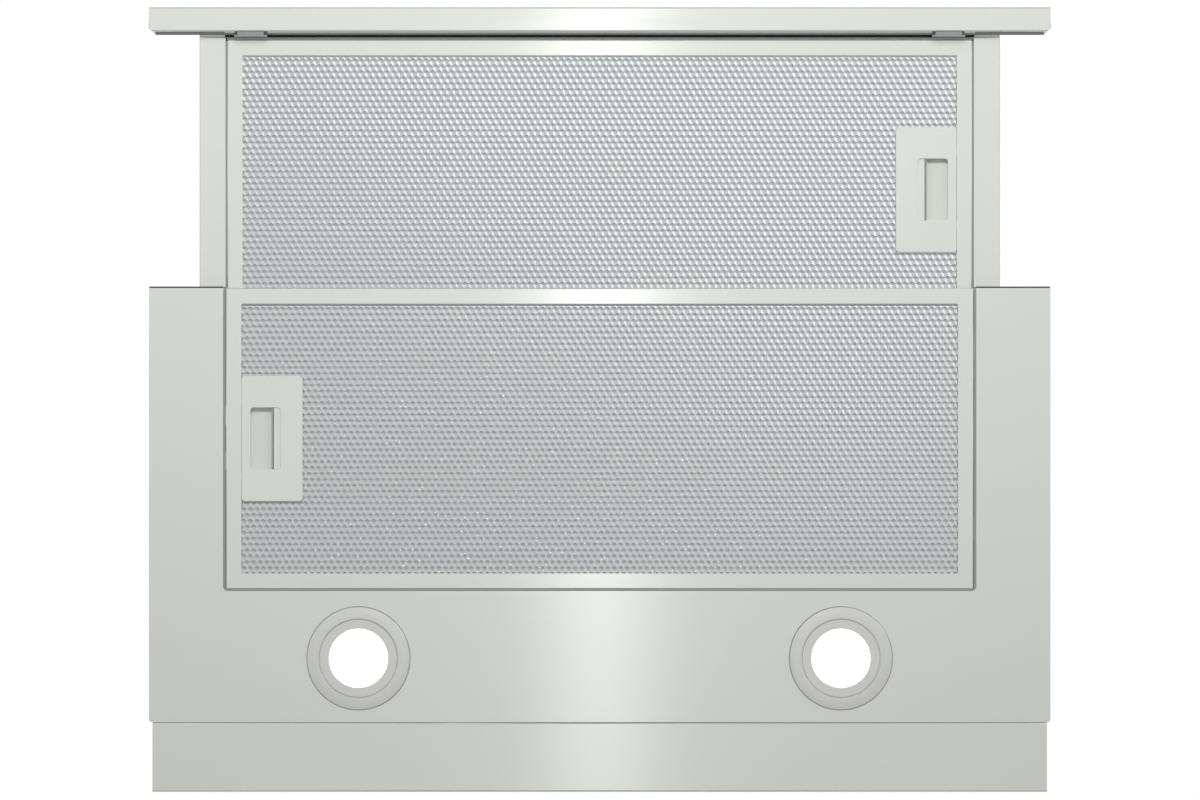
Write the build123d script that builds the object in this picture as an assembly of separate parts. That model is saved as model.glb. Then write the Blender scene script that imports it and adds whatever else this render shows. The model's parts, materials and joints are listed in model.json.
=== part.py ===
from build123d import *
from math import acos, atan2, cos, pi, radians, sin
import os

# A telescopic range hood for a 600 mm cabinet. Millimetres. +Z is up and the front faces -Y.
# The origin is the centre of the four cabinet screw holes, on the plane of the cabinet's underside.
# The tray is modelled pulled out, as it is used.

# Casing below the cabinet
WIDTH = 598.0
CASING_DEPTH = 288.0
CASING_HEIGHT = 41.0
SHEET = 0.8
BEND = 1.6
REAR_CORNER = 2.0
LEAST_CORNER = 0.4
SIDE_BORDER = 49.25
REAR_BORDER = 87.0
OPENING_CORNER = 3.0
OPENING_LIP = 7.0
LEDGE_FLANGE = 10.0
LEDGE_FIT = 0.1
LEDGE_HOLE_INSET = 18.0
LEDGE_HOLE_Y = 220.0
LEDGE_HOLE_R = 2.6
LEDGE_RIB_WIDTH = 8.0
LEDGE_RIB_LENGTH = 120.0
LEDGE_RIB_HEIGHT = 1.5

# Upper housing inside the cabinet
UPPER_HEIGHT = 139.0
UPPER_SETBACK = 5.0
UPPER_CORNER = 4.0
TOP_FLANGE = 14.0
COVER_BEAD_X = 161.5
COVER_BEAD_WIDTH = 10.0
COVER_BEAD_LENGTH = 115.0
COVER_BEAD_HEIGHT = 1.5
COVER_BEAD_EDGE = 1.2
COVER_BEAD_REAR = 20.0

# Filler strip that closes the gap to the wall
FILLER_END_GAP = 2.3
FILLER_DEPTH = 46.5
FILLER_FLANGE = 20.0
FILLER_BEND = 0.6
FILLER_SCREW_PITCH = 145.0
FILLER_SCREW_HEIGHT = 8.0

# Screws that hold the sheets
SCREW_R = 2.0
SCREW_HEAD_R = 3.8
SCREW_HEAD = 2.2
SCREW_LENGTH = 7.0
SCREW_SIDES = 6
SMALL_SIDES = 12
HOLE_CLEARANCE = 0.25
PILOT_REACH = 4.0

# Tray
TRAVEL = 166.0
TRAY_FILTER_GAP = 1.0
TRAY_OVER_FILTER = 0.5
TRAY_RAIL = 17.3
TRAY_HEIGHT = 26.5
TRAY_SHEET = 1.0
TRAY_EDGE = 0.6
TRAY_LIP = 3.0
TRAY_WEB_INSET = 3.2
TRAY_SHELF = 9.0
TRAY_NOSE = 2.2
TRAY_CLEARANCE = 2.0
TRAY_REAR_FOLD = 7.0
TRAY_PANEL_MARGIN = 5.0
WALL_TOP_FLANGE = 10.0
WALL_LOW_FLANGE = 8.0
WALL_LIFT = 2.0
WALL_BEND = 1.2

# Ball slides
SLIDE_HEIGHT = 24.0
SLIDE_WIDTH = 9.0
SLIDE_SHEET = 1.0
SLIDE_LIFT = 1.5
SLIDE_LIP_GAP = 1.6
SLIDE_END_GAP = 3.0
SLIDE_REAR_ROOM = 25.0
CAGE_END_GAP = 5.0
CAGE_SHEET = 0.8
CAGE_FIT = 0.2
BALL_R = 1.9
BALL_CLEARANCE = 0.1
BALLS_PER_ROW = 3
BUMPER_LENGTH = 6.0
BUMPER_R = 4.0
BUMPER_TAPER = 9.0
BUMPER_FOOT = 3.0
BUMPER_FOOT_HEIGHT = 14.0
BUMPER_GAP = 0.5

# Fascia, the bar that the tray is pulled by
FASCIA_UNDERSIDE = 15.8
FASCIA_BEVEL = 2.3
FASCIA_BEVEL_RISE = 4.0
FASCIA_SHEET = 1.0
FASCIA_BEND = 1.2
FASCIA_TOP = -3.0
FASCIA_DROP = 1.0
FASCIA_TOP_LIP = 14.0
FASCIA_CORNER = 4.0
FASCIA_CLOSED_GAP = 1.2
FASCIA_CAP = 2.0
FASCIA_CAP_INSET = 0.6
FASCIA_CAP_REAR_GAP = 1.0
FASCIA_CAP_FIT = 0.1
FASCIA_CAP_HEIGHT = 5.6
FASCIA_TO_WALL = 0.6
FASCIA_TO_FILTER = 2.6

# Clips that carry the fascia on the tray
CLIP_FROM_SIDE = 67.5
CLIP_WIDTH = 21.9
CLIP_TOE_WIDTH = 17.5
CLIP_TOE = 3.2
CLIP_SHEET = 1.0
CLIP_GAP = 0.3
CLIP_TOP_GAP = 4.0

# Grease filters, two alike
FILTER_HEIGHT = 9.0
FILTER_BORDER = 10.4
FILTER_SHEET = 0.6
FILTER_EDGE = 0.9
FILTER_SIDE_GAP = 1.75
FILTER_REAR_GAP = 1.3
FILTER_SEAT = 0.2
FILTER_FIT = 0.05
MESH_SHEET = 0.8
MESH_PITCH_X = 52.0
MESH_PITCH_Y = 40.0
MESH_STRAND = 5.0
LAYER_GAP = 0.3

# Filter latch
LATCH_WIDTH = 40.3
LATCH_DEPTH = 83.0
LATCH_INSET = 0.2
LATCH_LAP = 0.6
LATCH_CORNER = 2.0
CUP_WIDTH = 20.6
CUP_DEPTH = 41.9
CUP_HEIGHT = 7.0
CUP_WALL = 0.6
CUP_CORNER = 2.5
CUP_FROM_BORDER = 5.9
LATCH_TRAVEL = 5.0
SLIDER_THICK = 1.5
SLIDER_GAP = 0.1
SLIDER_HEADROOM = 0.4
SLIDER_FIT = 0.6
SLIDER_EDGE = 0.3
SLIDER_ARM = 4.5
SLIDER_LIP = 4.4
TONGUE_WIDTH = 12.0
TONGUE_SPACING = 30.0
TONGUE_REACH = 0.8
TONGUE_GAP = 0.5
SPRING_SHEET = 0.4
SPRING_SPAN = 30.0
SPRING_HEIGHT = 2.9
SPRING_FIT = 0.05
POST_GAP = 0.6
POST_SHEET = 1.4
POST_LENGTH = 36.0
POST_HEIGHT = 3.6
TAB_WIDTH = 16.0
TAB_SPACING = 120.0
TAB_REACH = 3.4
TAB_SHEET = 0.8
TAB_LIFT = 0.2
TAB_SLOT_HEIGHT = 5.2
TAB_SLOT_MARGIN = 1.0

# Lamps
LAMP_FROM_SIDE = 139.0
LAMP_FROM_REAR = 42.4
LAMP_RING_R = 34.4
LAMP_STEP_R = 26.4
LAMP_LENS_R = 20.05
LAMP_PROUD = 1.6
LAMP_DISH = 0.4
LAMP_RING_EDGE = 0.7
LAMP_RING_WALL = 2.3
LAMP_BODY_R = 29.0
LAMP_BODY_HEIGHT = 22.0
LAMP_HOLE_CLEARANCE = 0.6
LAMP_LENS_SINK = 0.7
LAMP_LENS_FIT = 0.1
LAMP_LENS_THICK = 2.0
LAMP_FINS = 8
LAMP_FIN_HEIGHT = 6.0
LAMP_CUP_WALL = 2.0
LAMP_BOARD = 1.6
LAMP_BOARD_GAP = 1.0
LAMP_CLIP_WIDTH = 8.0
LAMP_CLIP_SHEET = 0.6
LAMP_CLIP_RISE = 12.0
LAMP_CLIP_TOP = 4.0
LAMP_CLIP_REACH = 7.0
LAMP_CLIP_BEND = 1.2

# Blower
BLOWER_Y = -18.0
BLOWER_Z = 72.0
WHEEL_R = 48.0
WHEEL_WIDTH = 92.0
WHEEL_DISC = 1.6
BLADE_COUNT = 24
BLADE_DEPTH = 8.5
BLADE_THICK = 0.9
BLADE_BULGE = 2.2
BLADE_LEAN = 9.0
BLADE_TIP_GAP = 0.4
WHEEL_RING = 2.0
WHEEL_RING_DEPTH = 3.0
WHEEL_DISC_GAP = 1.0
HUB_R = 9.0
HUB_LENGTH = 22.0
SCROLL_START = 52.0
SCROLL_GROWTH = 19.0
SCROLL_WIDTH = 108.0
SCROLL_WALL = 2.0
SCROLL_FLANGE = 4.0
SCROLL_RIM = 2.0
CUTOFF_ANGLE = 65.0
INLET_R = 41.0
INLET_LIP = 3.0

# Motor
SHAFT_R = 4.0
SHAFT_CLEARANCE = 0.05
SHAFT_PAST_HUB = 4.0
SHAFT_PAST_MOTOR = 5.0
MOTOR_R = 32.0
MOTOR_INSIDE = 42.0
STACK_LENGTH = 28.0
END_BELL = 14.0
BELL_STEP = 1.0
BELL_RIM = 7.0
BOSS_LENGTH = 2.8
BEARING_WALL = 5.0
BRACKET_RING_R = 50.0
BRACKET_ARM = 9.0
BRACKET_HUB = 7.0
BRACKET_SHEET = 2.0
BRACKET_FIT = 0.1
BRACKET_TIP = 1.5
GROMMET_HEIGHT = 5.0

# Duct spigot and its flaps
SPIGOT_Y = 30.0
SPIGOT_R = 59.75
SPIGOT_WALL = 1.6
SPIGOT_HEIGHT = 34.0
SPIGOT_FLANGE = 11.0
SPIGOT_FLANGE_THICK = 2.0
SPIGOT_SEAT = 3.0
FLAP_HEIGHT = 10.0
FLAP_THICK = 1.2
FLAP_ROD_R = 1.5
FLAP_KNUCKLE_R = 3.0
FLAP_KNUCKLE = 14.0
FLAP_KNUCKLE_X = 26.0
FLAP_CLEARANCE = 0.6
FLAP_SEAT_GAP = 0.2
ROD_CLEARANCE = 0.08

# Front cheeks and switches
CHEEK_PROUD = 1.0
CHEEK_THICK = 3.0
CHEEK_WALL_GAP = 1.0
CHEEK_FIT = 0.1
SWITCH_INSET = 11.0
SWITCH_PITCH = 13.0
SWITCH_SLOT = 3.2
SWITCH_POCKET = 4.5
SWITCH_POCKET_ROOM = 2.0
SWITCH_WALL = 1.6
KNOB_PROUD = 4.0
KNOB_WIDTH = 7.0
KNOB_HEIGHT = 8.0
KNOB_EDGE = 1.5
NECK_HEIGHT = 5.0
FOOT_WIDTH = 8.0
FOOT_HEIGHT = 7.0
FOOT_THICK = 2.0
SPEED_TRAVEL = 12.0
LIGHT_TRAVEL = 6.0
SWITCH_CLEARANCE = 0.3
KNOB_GAP = 0.2

# Electrical box
BOX_WIDTH = 52.0
BOX_DEPTH = 150.0
BOX_HEIGHT = 58.0
BOX_WALL = 2.0
BOX_CORNER = 4.0
BOX_TOP_GAP = 0.5
LID_FIT = 0.3
LID_RIM = 1.5
LID_RIM_HEIGHT = 4.0
CAPACITOR_R = 15.0
CAPACITOR_LENGTH = 62.0
CAPACITOR_INSET = 4.0
CAPACITOR_LIFT = 6.0
GLAND_R = 8.0
GLAND_BORE_R = 4.0
GLAND_NUT_R = 11.0
GLAND_HEIGHT = 12.0
GLAND_NUT_HEIGHT = 5.0
GLAND_FIT = 0.1
GLAND_INSET_X = 18.2
GLAND_INSET_Y = 25.0

# Levels and lines that several pieces share
FRONT = -CASING_DEPTH / 2
REAR = CASING_DEPTH / 2
SIDE = WIDTH / 2
PANEL_LOW = -CASING_HEIGHT
PANEL_TOP = PANEL_LOW + SHEET
OPENING_X = SIDE - SIDE_BORDER
OPENING_REAR = REAR - REAR_BORDER
FILTER_WIDTH = 2 * (OPENING_X - FILTER_SIDE_GAP)
FILTER_DEPTH = OPENING_REAR - FILTER_REAR_GAP - FRONT
LAMP_X = SIDE - LAMP_FROM_SIDE
LAMP_Y = REAR - LAMP_FROM_REAR

TRAY_LOW = PANEL_LOW + FILTER_HEIGHT + TRAY_OVER_FILTER
TRAY_TOP = TRAY_LOW + TRAY_HEIGHT
TRAY_INNER_X = FILTER_WIDTH / 2 + TRAY_FILTER_GAP
TRAY_OUTER_X = TRAY_INNER_X + TRAY_RAIL
WEB_X = TRAY_INNER_X + TRAY_WEB_INSET
WEB_OUTER_X = WEB_X + TRAY_SHEET
FASCIA_REAR = FRONT - CHEEK_PROUD - FASCIA_CLOSED_GAP - TRAVEL
FASCIA_FRONT = FASCIA_REAR - FASCIA_BEVEL - FASCIA_UNDERSIDE
FASCIA_LOW = PANEL_LOW - FASCIA_DROP
CLIP_X = SIDE - CLIP_FROM_SIDE
TRAY_FRONT = FASCIA_REAR - FASCIA_TO_WALL
FRONT_FILTER_FRONT = FASCIA_REAR + FASCIA_TO_FILTER
FRONT_FILTER_LOW = TRAY_LOW + FILTER_SEAT
TRAY_PANEL_REAR = FRONT_FILTER_FRONT + FILTER_DEPTH + TRAY_PANEL_MARGIN

UPPER_FRONT = FRONT + UPPER_SETBACK
UPPER_REAR = REAR - UPPER_SETBACK
UPPER_INNER_X = WEB_OUTER_X + SLIDE_WIDTH
UPPER_X = UPPER_INNER_X + SHEET
COVER_LOW = UPPER_HEIGHT - SHEET

SLIDE_LOW = TRAY_LOW + TRAY_SHEET + SLIDE_LIFT
SLIDE_FRONT = UPPER_FRONT + SLIDE_END_GAP
SLIDE_LENGTH = UPPER_REAR - SLIDE_REAR_ROOM - SLIDE_FRONT
CAGE_LENGTH = SLIDE_LENGTH - TRAVEL - 2 * CAGE_END_GAP
INNER_SLIDE_FRONT = SLIDE_FRONT - TRAVEL
INNER_SLIDE_REAR = INNER_SLIDE_FRONT + SLIDE_LENGTH
FLAP_Z = UPPER_HEIGHT + FLAP_HEIGHT
THROUGH = 500.0

# How far a cutter runs past what it cuts, or a joining block into what it joins
OVER = 1.0


def block(x0, x1, y0, y1, z0, z1):
    """A box between two opposite corners."""
    return Pos((x0 + x1) / 2, (y0 + y1) / 2, (z0 + z1) / 2) * Box(x1 - x0, y1 - y0, z1 - z0)


def round_block(x0, x1, y0, y1, z0, z1, radius):
    """A box whose upright edges are rounded."""
    outline = RectangleRounded(x1 - x0, y1 - y0, radius)
    return Pos((x0 + x1) / 2, (y0 + y1) / 2, z0) * extrude(outline, z1 - z0)


def drum(x, y, z0, z1, radius):
    """An upright cylinder between two levels."""
    return Pos(x, y, (z0 + z1) / 2) * Cylinder(radius, z1 - z0)


def rod_x(x0, x1, y, z, radius):
    """A cylinder along X."""
    return Pos((x0 + x1) / 2, y, z) * Rot(0, 90, 0) * Cylinder(radius, x1 - x0)


def rod_y(x, y0, y1, z, radius):
    """A cylinder along Y."""
    return Pos(x, (y0 + y1) / 2, z) * Rot(90, 0, 0) * Cylinder(radius, y1 - y0)


def along_x(face, x0, x1):
    """A face drawn in Y and Z, extruded from x0 to x1."""
    return extrude(Plane.YZ.offset(x0) * face, x1 - x0)


def along_y(face, y0, y1):
    """A face drawn in X and Z, extruded from y0 to y1."""
    return extrude(Plane.XZ.offset(-y1) * face, y1 - y0)


def folded(points, thickness, side=Side.LEFT, bend=BEND):
    """The section of a sheet folded along a line of points, its thickness laid to one side."""
    path = FilletPolyline(*points, radius=bend)
    return make_face(offset(path, amount=thickness, side=side, closed=True))


def mirrored_pair(part):
    """A piece and its mirror image across the middle plane."""
    return Compound([part, mirror(part, Plane.YZ)])


def peg_x(x0, x1, radius):
    """A twelve-sided bar along X, for small round pieces and holes that need few facets."""
    return along_x(RegularPolygon(radius, SMALL_SIDES, major_radius=False), x0, x1)


def pilot(x, y, z, axis=(0, 0, 1)):
    """The six-sided cutter of a screw's hole, centred on the sheet it goes through."""
    hole = RegularPolygon(SCREW_R + HOLE_CLEARANCE, SCREW_SIDES, major_radius=False)
    cutter = extrude(hole, PILOT_REACH, both=True)
    return Plane(origin=(x, y, z), z_dir=axis) * cutter


def screw(x, y, z, axis):
    """A hexagon-head sheet screw whose head seats at the given point, its shank running along -axis."""
    shank = extrude(RegularPolygon(SCREW_R, SCREW_SIDES), -SCREW_LENGTH)
    head = extrude(RegularPolygon(SCREW_HEAD_R, SCREW_SIDES), SCREW_HEAD)
    return Plane(origin=(x, y, z), z_dir=axis) * (shank + head)


def write(name, *pieces):
    """Writes one node. Pieces that are several solids stay separate."""
    solids = [s for piece in pieces for s in piece.solids()]
    export_step(solids[0] if len(solids) == 1 else Compound(solids), f"parts/{name}.step")


# Casing

FILLER_SCREW_Z = PANEL_LOW + FILLER_SCREW_HEIGHT
FILLER_SCREWS = [(FILLER_SCREW_PITCH * i, REAR + SHEET, FILLER_SCREW_Z) for i in (-1.5, -0.5, 0.5, 1.5)]


def casing_outline(inset=0.0):
    """The casing seen from below, with rounded rear corners."""
    corner = max(REAR_CORNER - inset, LEAST_CORNER)
    face = Rectangle(WIDTH - 2 * inset, CASING_DEPTH - 2 * inset)
    return fillet(face.vertices().group_by(Axis.Y)[-1], corner)


def opening_outline(grow=0.0):
    """The filter opening, which runs out through the front edge."""
    front = FRONT - OPENING_LIP
    rear = OPENING_REAR + grow
    face = Pos(0, (front + rear) / 2) * Rectangle(2 * (OPENING_X + grow), rear - front)
    return fillet(face.vertices().group_by(Axis.Y)[-1], OPENING_CORNER + grow)


def bottom_panel():
    """The bright panel seen from below, with its side and rear walls folded up."""
    top = -SHEET
    tray = extrude(Pos(0, 0, PANEL_LOW) * casing_outline(), top - PANEL_LOW)
    inside = extrude(Pos(0, 0, PANEL_TOP) * casing_outline(SHEET), top - PANEL_TOP)
    panel = tray - inside - block(SHEET - SIDE, SIDE - SHEET, FRONT - OVER, FRONT + BEND, PANEL_TOP, top)
    lip = extrude(Pos(0, 0, PANEL_LOW) * opening_outline(SHEET), OPENING_LIP)
    lip &= block(-SIDE, SIDE, FRONT, REAR, PANEL_LOW, 0)
    panel = panel + lip - extrude(Pos(0, 0, PANEL_LOW - OVER) * opening_outline(), OPENING_LIP + 2 * OVER)
    hole_r = LAMP_BODY_R + LAMP_HOLE_CLEARANCE
    for side in (-1, 1):
        panel -= drum(side * LAMP_X, LAMP_Y, PANEL_LOW - OVER, PANEL_TOP + OVER, hole_r)
    for x, y, z in FILLER_SCREWS:
        panel -= pilot(x, y, z, (0, 1, 0))
    slot_x0 = OPENING_X - OVER
    slot_x1 = OPENING_X + SHEET + OVER
    half = TAB_WIDTH / 2 + TAB_SLOT_MARGIN
    for y in tab_centres(FRONT):
        panel -= block(slot_x0, slot_x1, y - half, y + half, PANEL_TOP, PANEL_TOP + TAB_SLOT_HEIGHT)
    return panel


def ledge_frame():
    """The plated frame that carries the upper housing and is screwed up into the cabinet."""
    plate = extrude(Pos(0, 0, -SHEET) * casing_outline(), SHEET)
    outer = SHEET + LEDGE_FIT
    skirt = casing_outline(outer) - casing_outline(outer + SHEET)
    frame = plate + extrude(Pos(0, 0, -LEDGE_FLANGE) * skirt, LEDGE_FLANGE - SHEET)
    low = -LEDGE_FLANGE - OVER
    frame -= block(-SIDE, SIDE, FRONT - OVER, FRONT + 2 * CHEEK_THICK, low, -SHEET)
    frame -= upper_ring(low, OVER)
    rib_y = LEDGE_RIB_LENGTH / 2
    for x in (LEDGE_HOLE_INSET - SIDE, SIDE - LEDGE_HOLE_INSET):
        for y in (-LEDGE_HOLE_Y / 2, LEDGE_HOLE_Y / 2):
            frame -= drum(x, y, low, OVER, LEDGE_HOLE_R)
        rib_x = LEDGE_RIB_WIDTH / 2
        frame += block(x - rib_x, x + rib_x, -rib_y, rib_y, -SHEET - LEDGE_RIB_HEIGHT, -SHEET)
    return frame


def filler_strip():
    """The strip behind the casing, folded up at its front and rear."""
    y0 = REAR
    y1 = REAR + FILLER_DEPTH
    top = PANEL_LOW + FILLER_FLANGE
    section = folded(
        [(y0 + SHEET, top), (y0 + SHEET, PANEL_TOP), (y1 - SHEET, PANEL_TOP), (y1 - SHEET, top)],
        SHEET,
        Side.RIGHT,
        FILLER_BEND,
    )
    strip = along_x(section, FILLER_END_GAP - SIDE, SIDE - FILLER_END_GAP)
    for x, y, z in FILLER_SCREWS:
        strip -= pilot(x, y, z, (0, 1, 0))
    return strip


# Upper housing

def upper_ring(z0, z1, inset=0.0):
    """The housing's rounded outline as an upright block, drawn in by an inset."""
    return round_block(
        -UPPER_X + inset,
        UPPER_X - inset,
        UPPER_FRONT + inset,
        UPPER_REAR - inset,
        z0,
        z1,
        max(UPPER_CORNER - inset, LEAST_CORNER),
    )


def cover_screw_points():
    """Where the top cover is screwed to the housing's flange."""
    inset = (SHEET + TOP_FLANGE) / 2
    x1 = UPPER_X - inset
    return [(x, y) for x in (-x1, 0, x1) for y in (UPPER_FRONT + inset, UPPER_REAR - inset)]


def upper_housing():
    """The plated wrap inside the cabinet, whose sides reach down to carry the slides."""
    low = SLIDE_LOW
    walls = upper_ring(low, COVER_LOW) - upper_ring(low - OVER, COVER_LOW - SHEET, SHEET)
    walls -= upper_ring(COVER_LOW - SHEET - OVER, COVER_LOW + OVER, TOP_FLANGE)
    front = UPPER_FRONT + UPPER_CORNER + OVER
    walls -= block(-UPPER_INNER_X, UPPER_INNER_X, UPPER_FRONT - OVER, front, low - OVER, -SHEET)
    for x, y in cover_screw_points():
        walls -= pilot(x, y, COVER_LOW)
    return walls


def top_cover():
    """The lid of the upper housing, with the outlet hole, a raised bead and the cable hole."""
    cover = upper_ring(COVER_LOW, UPPER_HEIGHT)
    cover -= drum(0, SPIGOT_Y, 0, THROUGH, SPIGOT_R - SPIGOT_WALL)
    for x, y in cover_screw_points() + spigot_screws():
        cover -= pilot(x, y, COVER_LOW)
    gland_x, gland_y = gland_point()
    cover -= drum(gland_x, gland_y, 0, THROUGH, GLAND_R + GLAND_FIT)
    for side in (-1, 1):
        x0 = side * COVER_BEAD_X - COVER_BEAD_WIDTH / 2
        bead = block(
            x0,
            x0 + COVER_BEAD_WIDTH,
            COVER_BEAD_REAR - COVER_BEAD_LENGTH,
            COVER_BEAD_REAR,
            UPPER_HEIGHT,
            UPPER_HEIGHT + COVER_BEAD_HEIGHT,
        )
        cover += chamfer(bead.edges().group_by(Axis.Z)[-1], COVER_BEAD_EDGE)
    return cover


# Tray

def tray_rail():
    """The right-hand rail of the tray: floor flange, outer lip, upright web and top flange."""
    y0 = TRAY_FRONT
    y1 = INNER_SLIDE_REAR
    floor = block(TRAY_INNER_X, TRAY_OUTER_X, y0, y1, TRAY_LOW, TRAY_LOW + TRAY_SHEET)
    lip = block(TRAY_OUTER_X - TRAY_SHEET, TRAY_OUTER_X, y0, y1, TRAY_LOW, TRAY_LOW + TRAY_LIP)
    web = block(WEB_X, WEB_OUTER_X, y0, y1, TRAY_LOW, TRAY_TOP)
    shelf = block(WEB_X - TRAY_SHELF, WEB_X, y0, y1, TRAY_TOP - TRAY_SHEET, TRAY_TOP)
    nose = Polyline(
        (y0 - OVER, TRAY_LOW - OVER),
        (y0 + TRAY_NOSE + OVER, TRAY_LOW - OVER),
        (y0 - OVER, TRAY_LOW + TRAY_NOSE + OVER),
        close=True,
    )
    cutter = along_x(make_face(nose), TRAY_INNER_X - OVER, TRAY_OUTER_X + OVER)
    rail = floor + lip + web + shelf - cutter
    outer = rail.edges().filter_by(Axis.Y).sort_by(lambda e: e.center().X - e.center().Z)[-1]
    return fillet(outer, TRAY_EDGE)


def tray_front_wall():
    """The folded cross-member behind the fascia."""
    section = folded(
        [
            (TRAY_FRONT - WALL_TOP_FLANGE, TRAY_TOP - TRAY_SHEET),
            (TRAY_FRONT, TRAY_TOP - TRAY_SHEET),
            (TRAY_FRONT, TRAY_LOW + WALL_LIFT),
            (TRAY_FRONT - WALL_LOW_FLANGE, TRAY_LOW + WALL_LIFT),
        ],
        TRAY_SHEET,
        Side.RIGHT,
        WALL_BEND,
    )
    return along_x(section, -TRAY_OUTER_X, TRAY_OUTER_X)


def tray_top_panel():
    """The lid of the tray's air space, folded down at its rear edge."""
    section = folded(
        [
            (TRAY_FRONT, TRAY_TOP),
            (TRAY_PANEL_REAR, TRAY_TOP),
            (TRAY_PANEL_REAR, TRAY_TOP - TRAY_REAR_FOLD),
        ],
        SHEET,
        Side.LEFT,
    )
    panel = along_x(section, -WEB_OUTER_X, WEB_OUTER_X)
    notch_x = WEB_X - TRAY_SHELF - TRAY_FILTER_GAP
    notch_y = TRAY_PANEL_REAR - TRAY_PANEL_MARGIN
    notch = block(notch_x, WEB_OUTER_X + OVER, notch_y, TRAY_PANEL_REAR + SHEET + OVER, TRAY_LOW, TRAY_TOP)
    return panel - notch - mirror(notch, Plane.YZ)


# Ball slides

SLIDE_TOP = SLIDE_LOW + SLIDE_HEIGHT
BALL_ROOM = 2 * (BALL_R + BALL_CLEARANCE)
BALL_X = (UPPER_INNER_X + WEB_OUTER_X - SLIDE_SHEET - CAGE_SHEET) / 2


def outer_slide():
    """The right-hand member fixed to the housing: a channel open towards the tray."""
    z0 = SLIDE_LOW
    z1 = SLIDE_TOP
    x0 = WEB_OUTER_X + SLIDE_LIP_GAP
    x1 = UPPER_INNER_X
    shape = block(x0, x1, SLIDE_FRONT, SLIDE_FRONT + SLIDE_LENGTH, z0, z1)
    shape -= block(
        x0 - OVER,
        x1 - SLIDE_SHEET,
        SLIDE_FRONT - OVER,
        SLIDE_FRONT + SLIDE_LENGTH + OVER,
        z0 + SLIDE_SHEET,
        z1 - SLIDE_SHEET,
    )
    return shape


def inner_slide():
    """The right-hand member fixed to the tray's web."""
    z0 = SLIDE_LOW + SLIDE_SHEET + BALL_ROOM
    z1 = SLIDE_TOP - SLIDE_SHEET - BALL_ROOM
    x0 = WEB_OUTER_X
    x1 = BALL_X + BALL_R
    shape = block(x0, x1, INNER_SLIDE_FRONT, INNER_SLIDE_REAR, z0, z1)
    shape -= block(
        x0 + SLIDE_SHEET,
        x1 + OVER,
        INNER_SLIDE_FRONT - OVER,
        INNER_SLIDE_REAR + OVER,
        z0 + SLIDE_SHEET,
        z1 - SLIDE_SHEET,
    )
    return shape


def ball(x, y, z):
    """A slide ball, cut from four turned cubes so that it has few facets."""
    cube = Box(2 * BALL_R, 2 * BALL_R, 2 * BALL_R)
    return Pos(x, y, z) * (cube & Rot(45, 0, 0) * cube & Rot(0, 45, 0) * cube & Rot(0, 0, 45) * cube)


def ball_cage():
    """The strip between the two members, with the balls in its holes."""
    rows = (SLIDE_LOW + SLIDE_SHEET + BALL_ROOM / 2, SLIDE_TOP - SLIDE_SHEET - BALL_ROOM / 2)
    y0 = SLIDE_FRONT + SLIDE_END_GAP
    y1 = y0 + CAGE_LENGTH
    x1 = UPPER_INNER_X - SLIDE_SHEET - CAGE_FIT
    x0 = x1 - CAGE_SHEET
    half = CAGE_SHEET / 2
    strip = block(x0, x1, y0, y1, rows[0] - half, rows[1] + half)
    for z in rows:
        strip += block(BALL_X - 0.6 * BALL_R, x1, y0, y1, z - half, z + half)
    pitch = CAGE_LENGTH / BALLS_PER_ROW
    centres = [(y0 + pitch * (i + 0.5), z) for i in range(BALLS_PER_ROW) for z in rows]
    for y, z in centres:
        strip -= Pos(BALL_X, y, z) * Box(BALL_ROOM, BALL_ROOM, BALL_ROOM)
    return [strip] + [ball(BALL_X, y, z) for y, z in centres]


def tray_bumper():
    """The rubber stop behind the right-hand rail of the tray."""
    y0 = INNER_SLIDE_REAR + TRAVEL + BUMPER_GAP
    y1 = y0 + BUMPER_LENGTH
    z = (TRAY_LOW + TRAY_TOP) / 2
    half = BUMPER_FOOT_HEIGHT / 2
    foot = block(WEB_OUTER_X - BUMPER_R, UPPER_INNER_X, y1, y1 + BUMPER_FOOT, z - half, z + half)
    nose = extrude(RegularPolygon(BUMPER_R, SMALL_SIDES), BUMPER_LENGTH, taper=BUMPER_TAPER)
    return foot + Plane(origin=(WEB_OUTER_X, y1, z), z_dir=(0, -1, 0)) * nose


# Fascia

def fascia_line(gap=0.0):
    """Corner points of the fascia's outer face, from its top rear lip round to its rear bevel."""
    return [
        (FASCIA_FRONT + FASCIA_TOP_LIP, FASCIA_TOP - gap),
        (FASCIA_FRONT + gap, FASCIA_TOP - gap),
        (FASCIA_FRONT + gap, FASCIA_LOW + gap),
        (FASCIA_FRONT + FASCIA_UNDERSIDE, FASCIA_LOW + gap),
        (FASCIA_REAR - gap, FASCIA_LOW + FASCIA_BEVEL_RISE),
    ]


def corner_cut():
    """The chamfer block for the fascia's right rear corner, seen from below."""
    line = Polyline(
        (SIDE, FASCIA_REAR - FASCIA_CORNER),
        (SIDE, FASCIA_REAR + OVER),
        (SIDE - FASCIA_CORNER - OVER, FASCIA_REAR + OVER),
        close=True,
    )
    height = FASCIA_BEVEL_RISE + FASCIA_SHEET + 2 * OVER
    return extrude(Pos(0, 0, FASCIA_LOW - OVER) * make_face(line), height)


def fascia():
    """The bar across the front of the tray, one folded profile."""
    section = folded(fascia_line(), FASCIA_SHEET, Side.LEFT, FASCIA_BEND)
    cut = corner_cut()
    return along_x(section, -SIDE, SIDE) - cut - mirror(cut, Plane.YZ)


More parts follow.
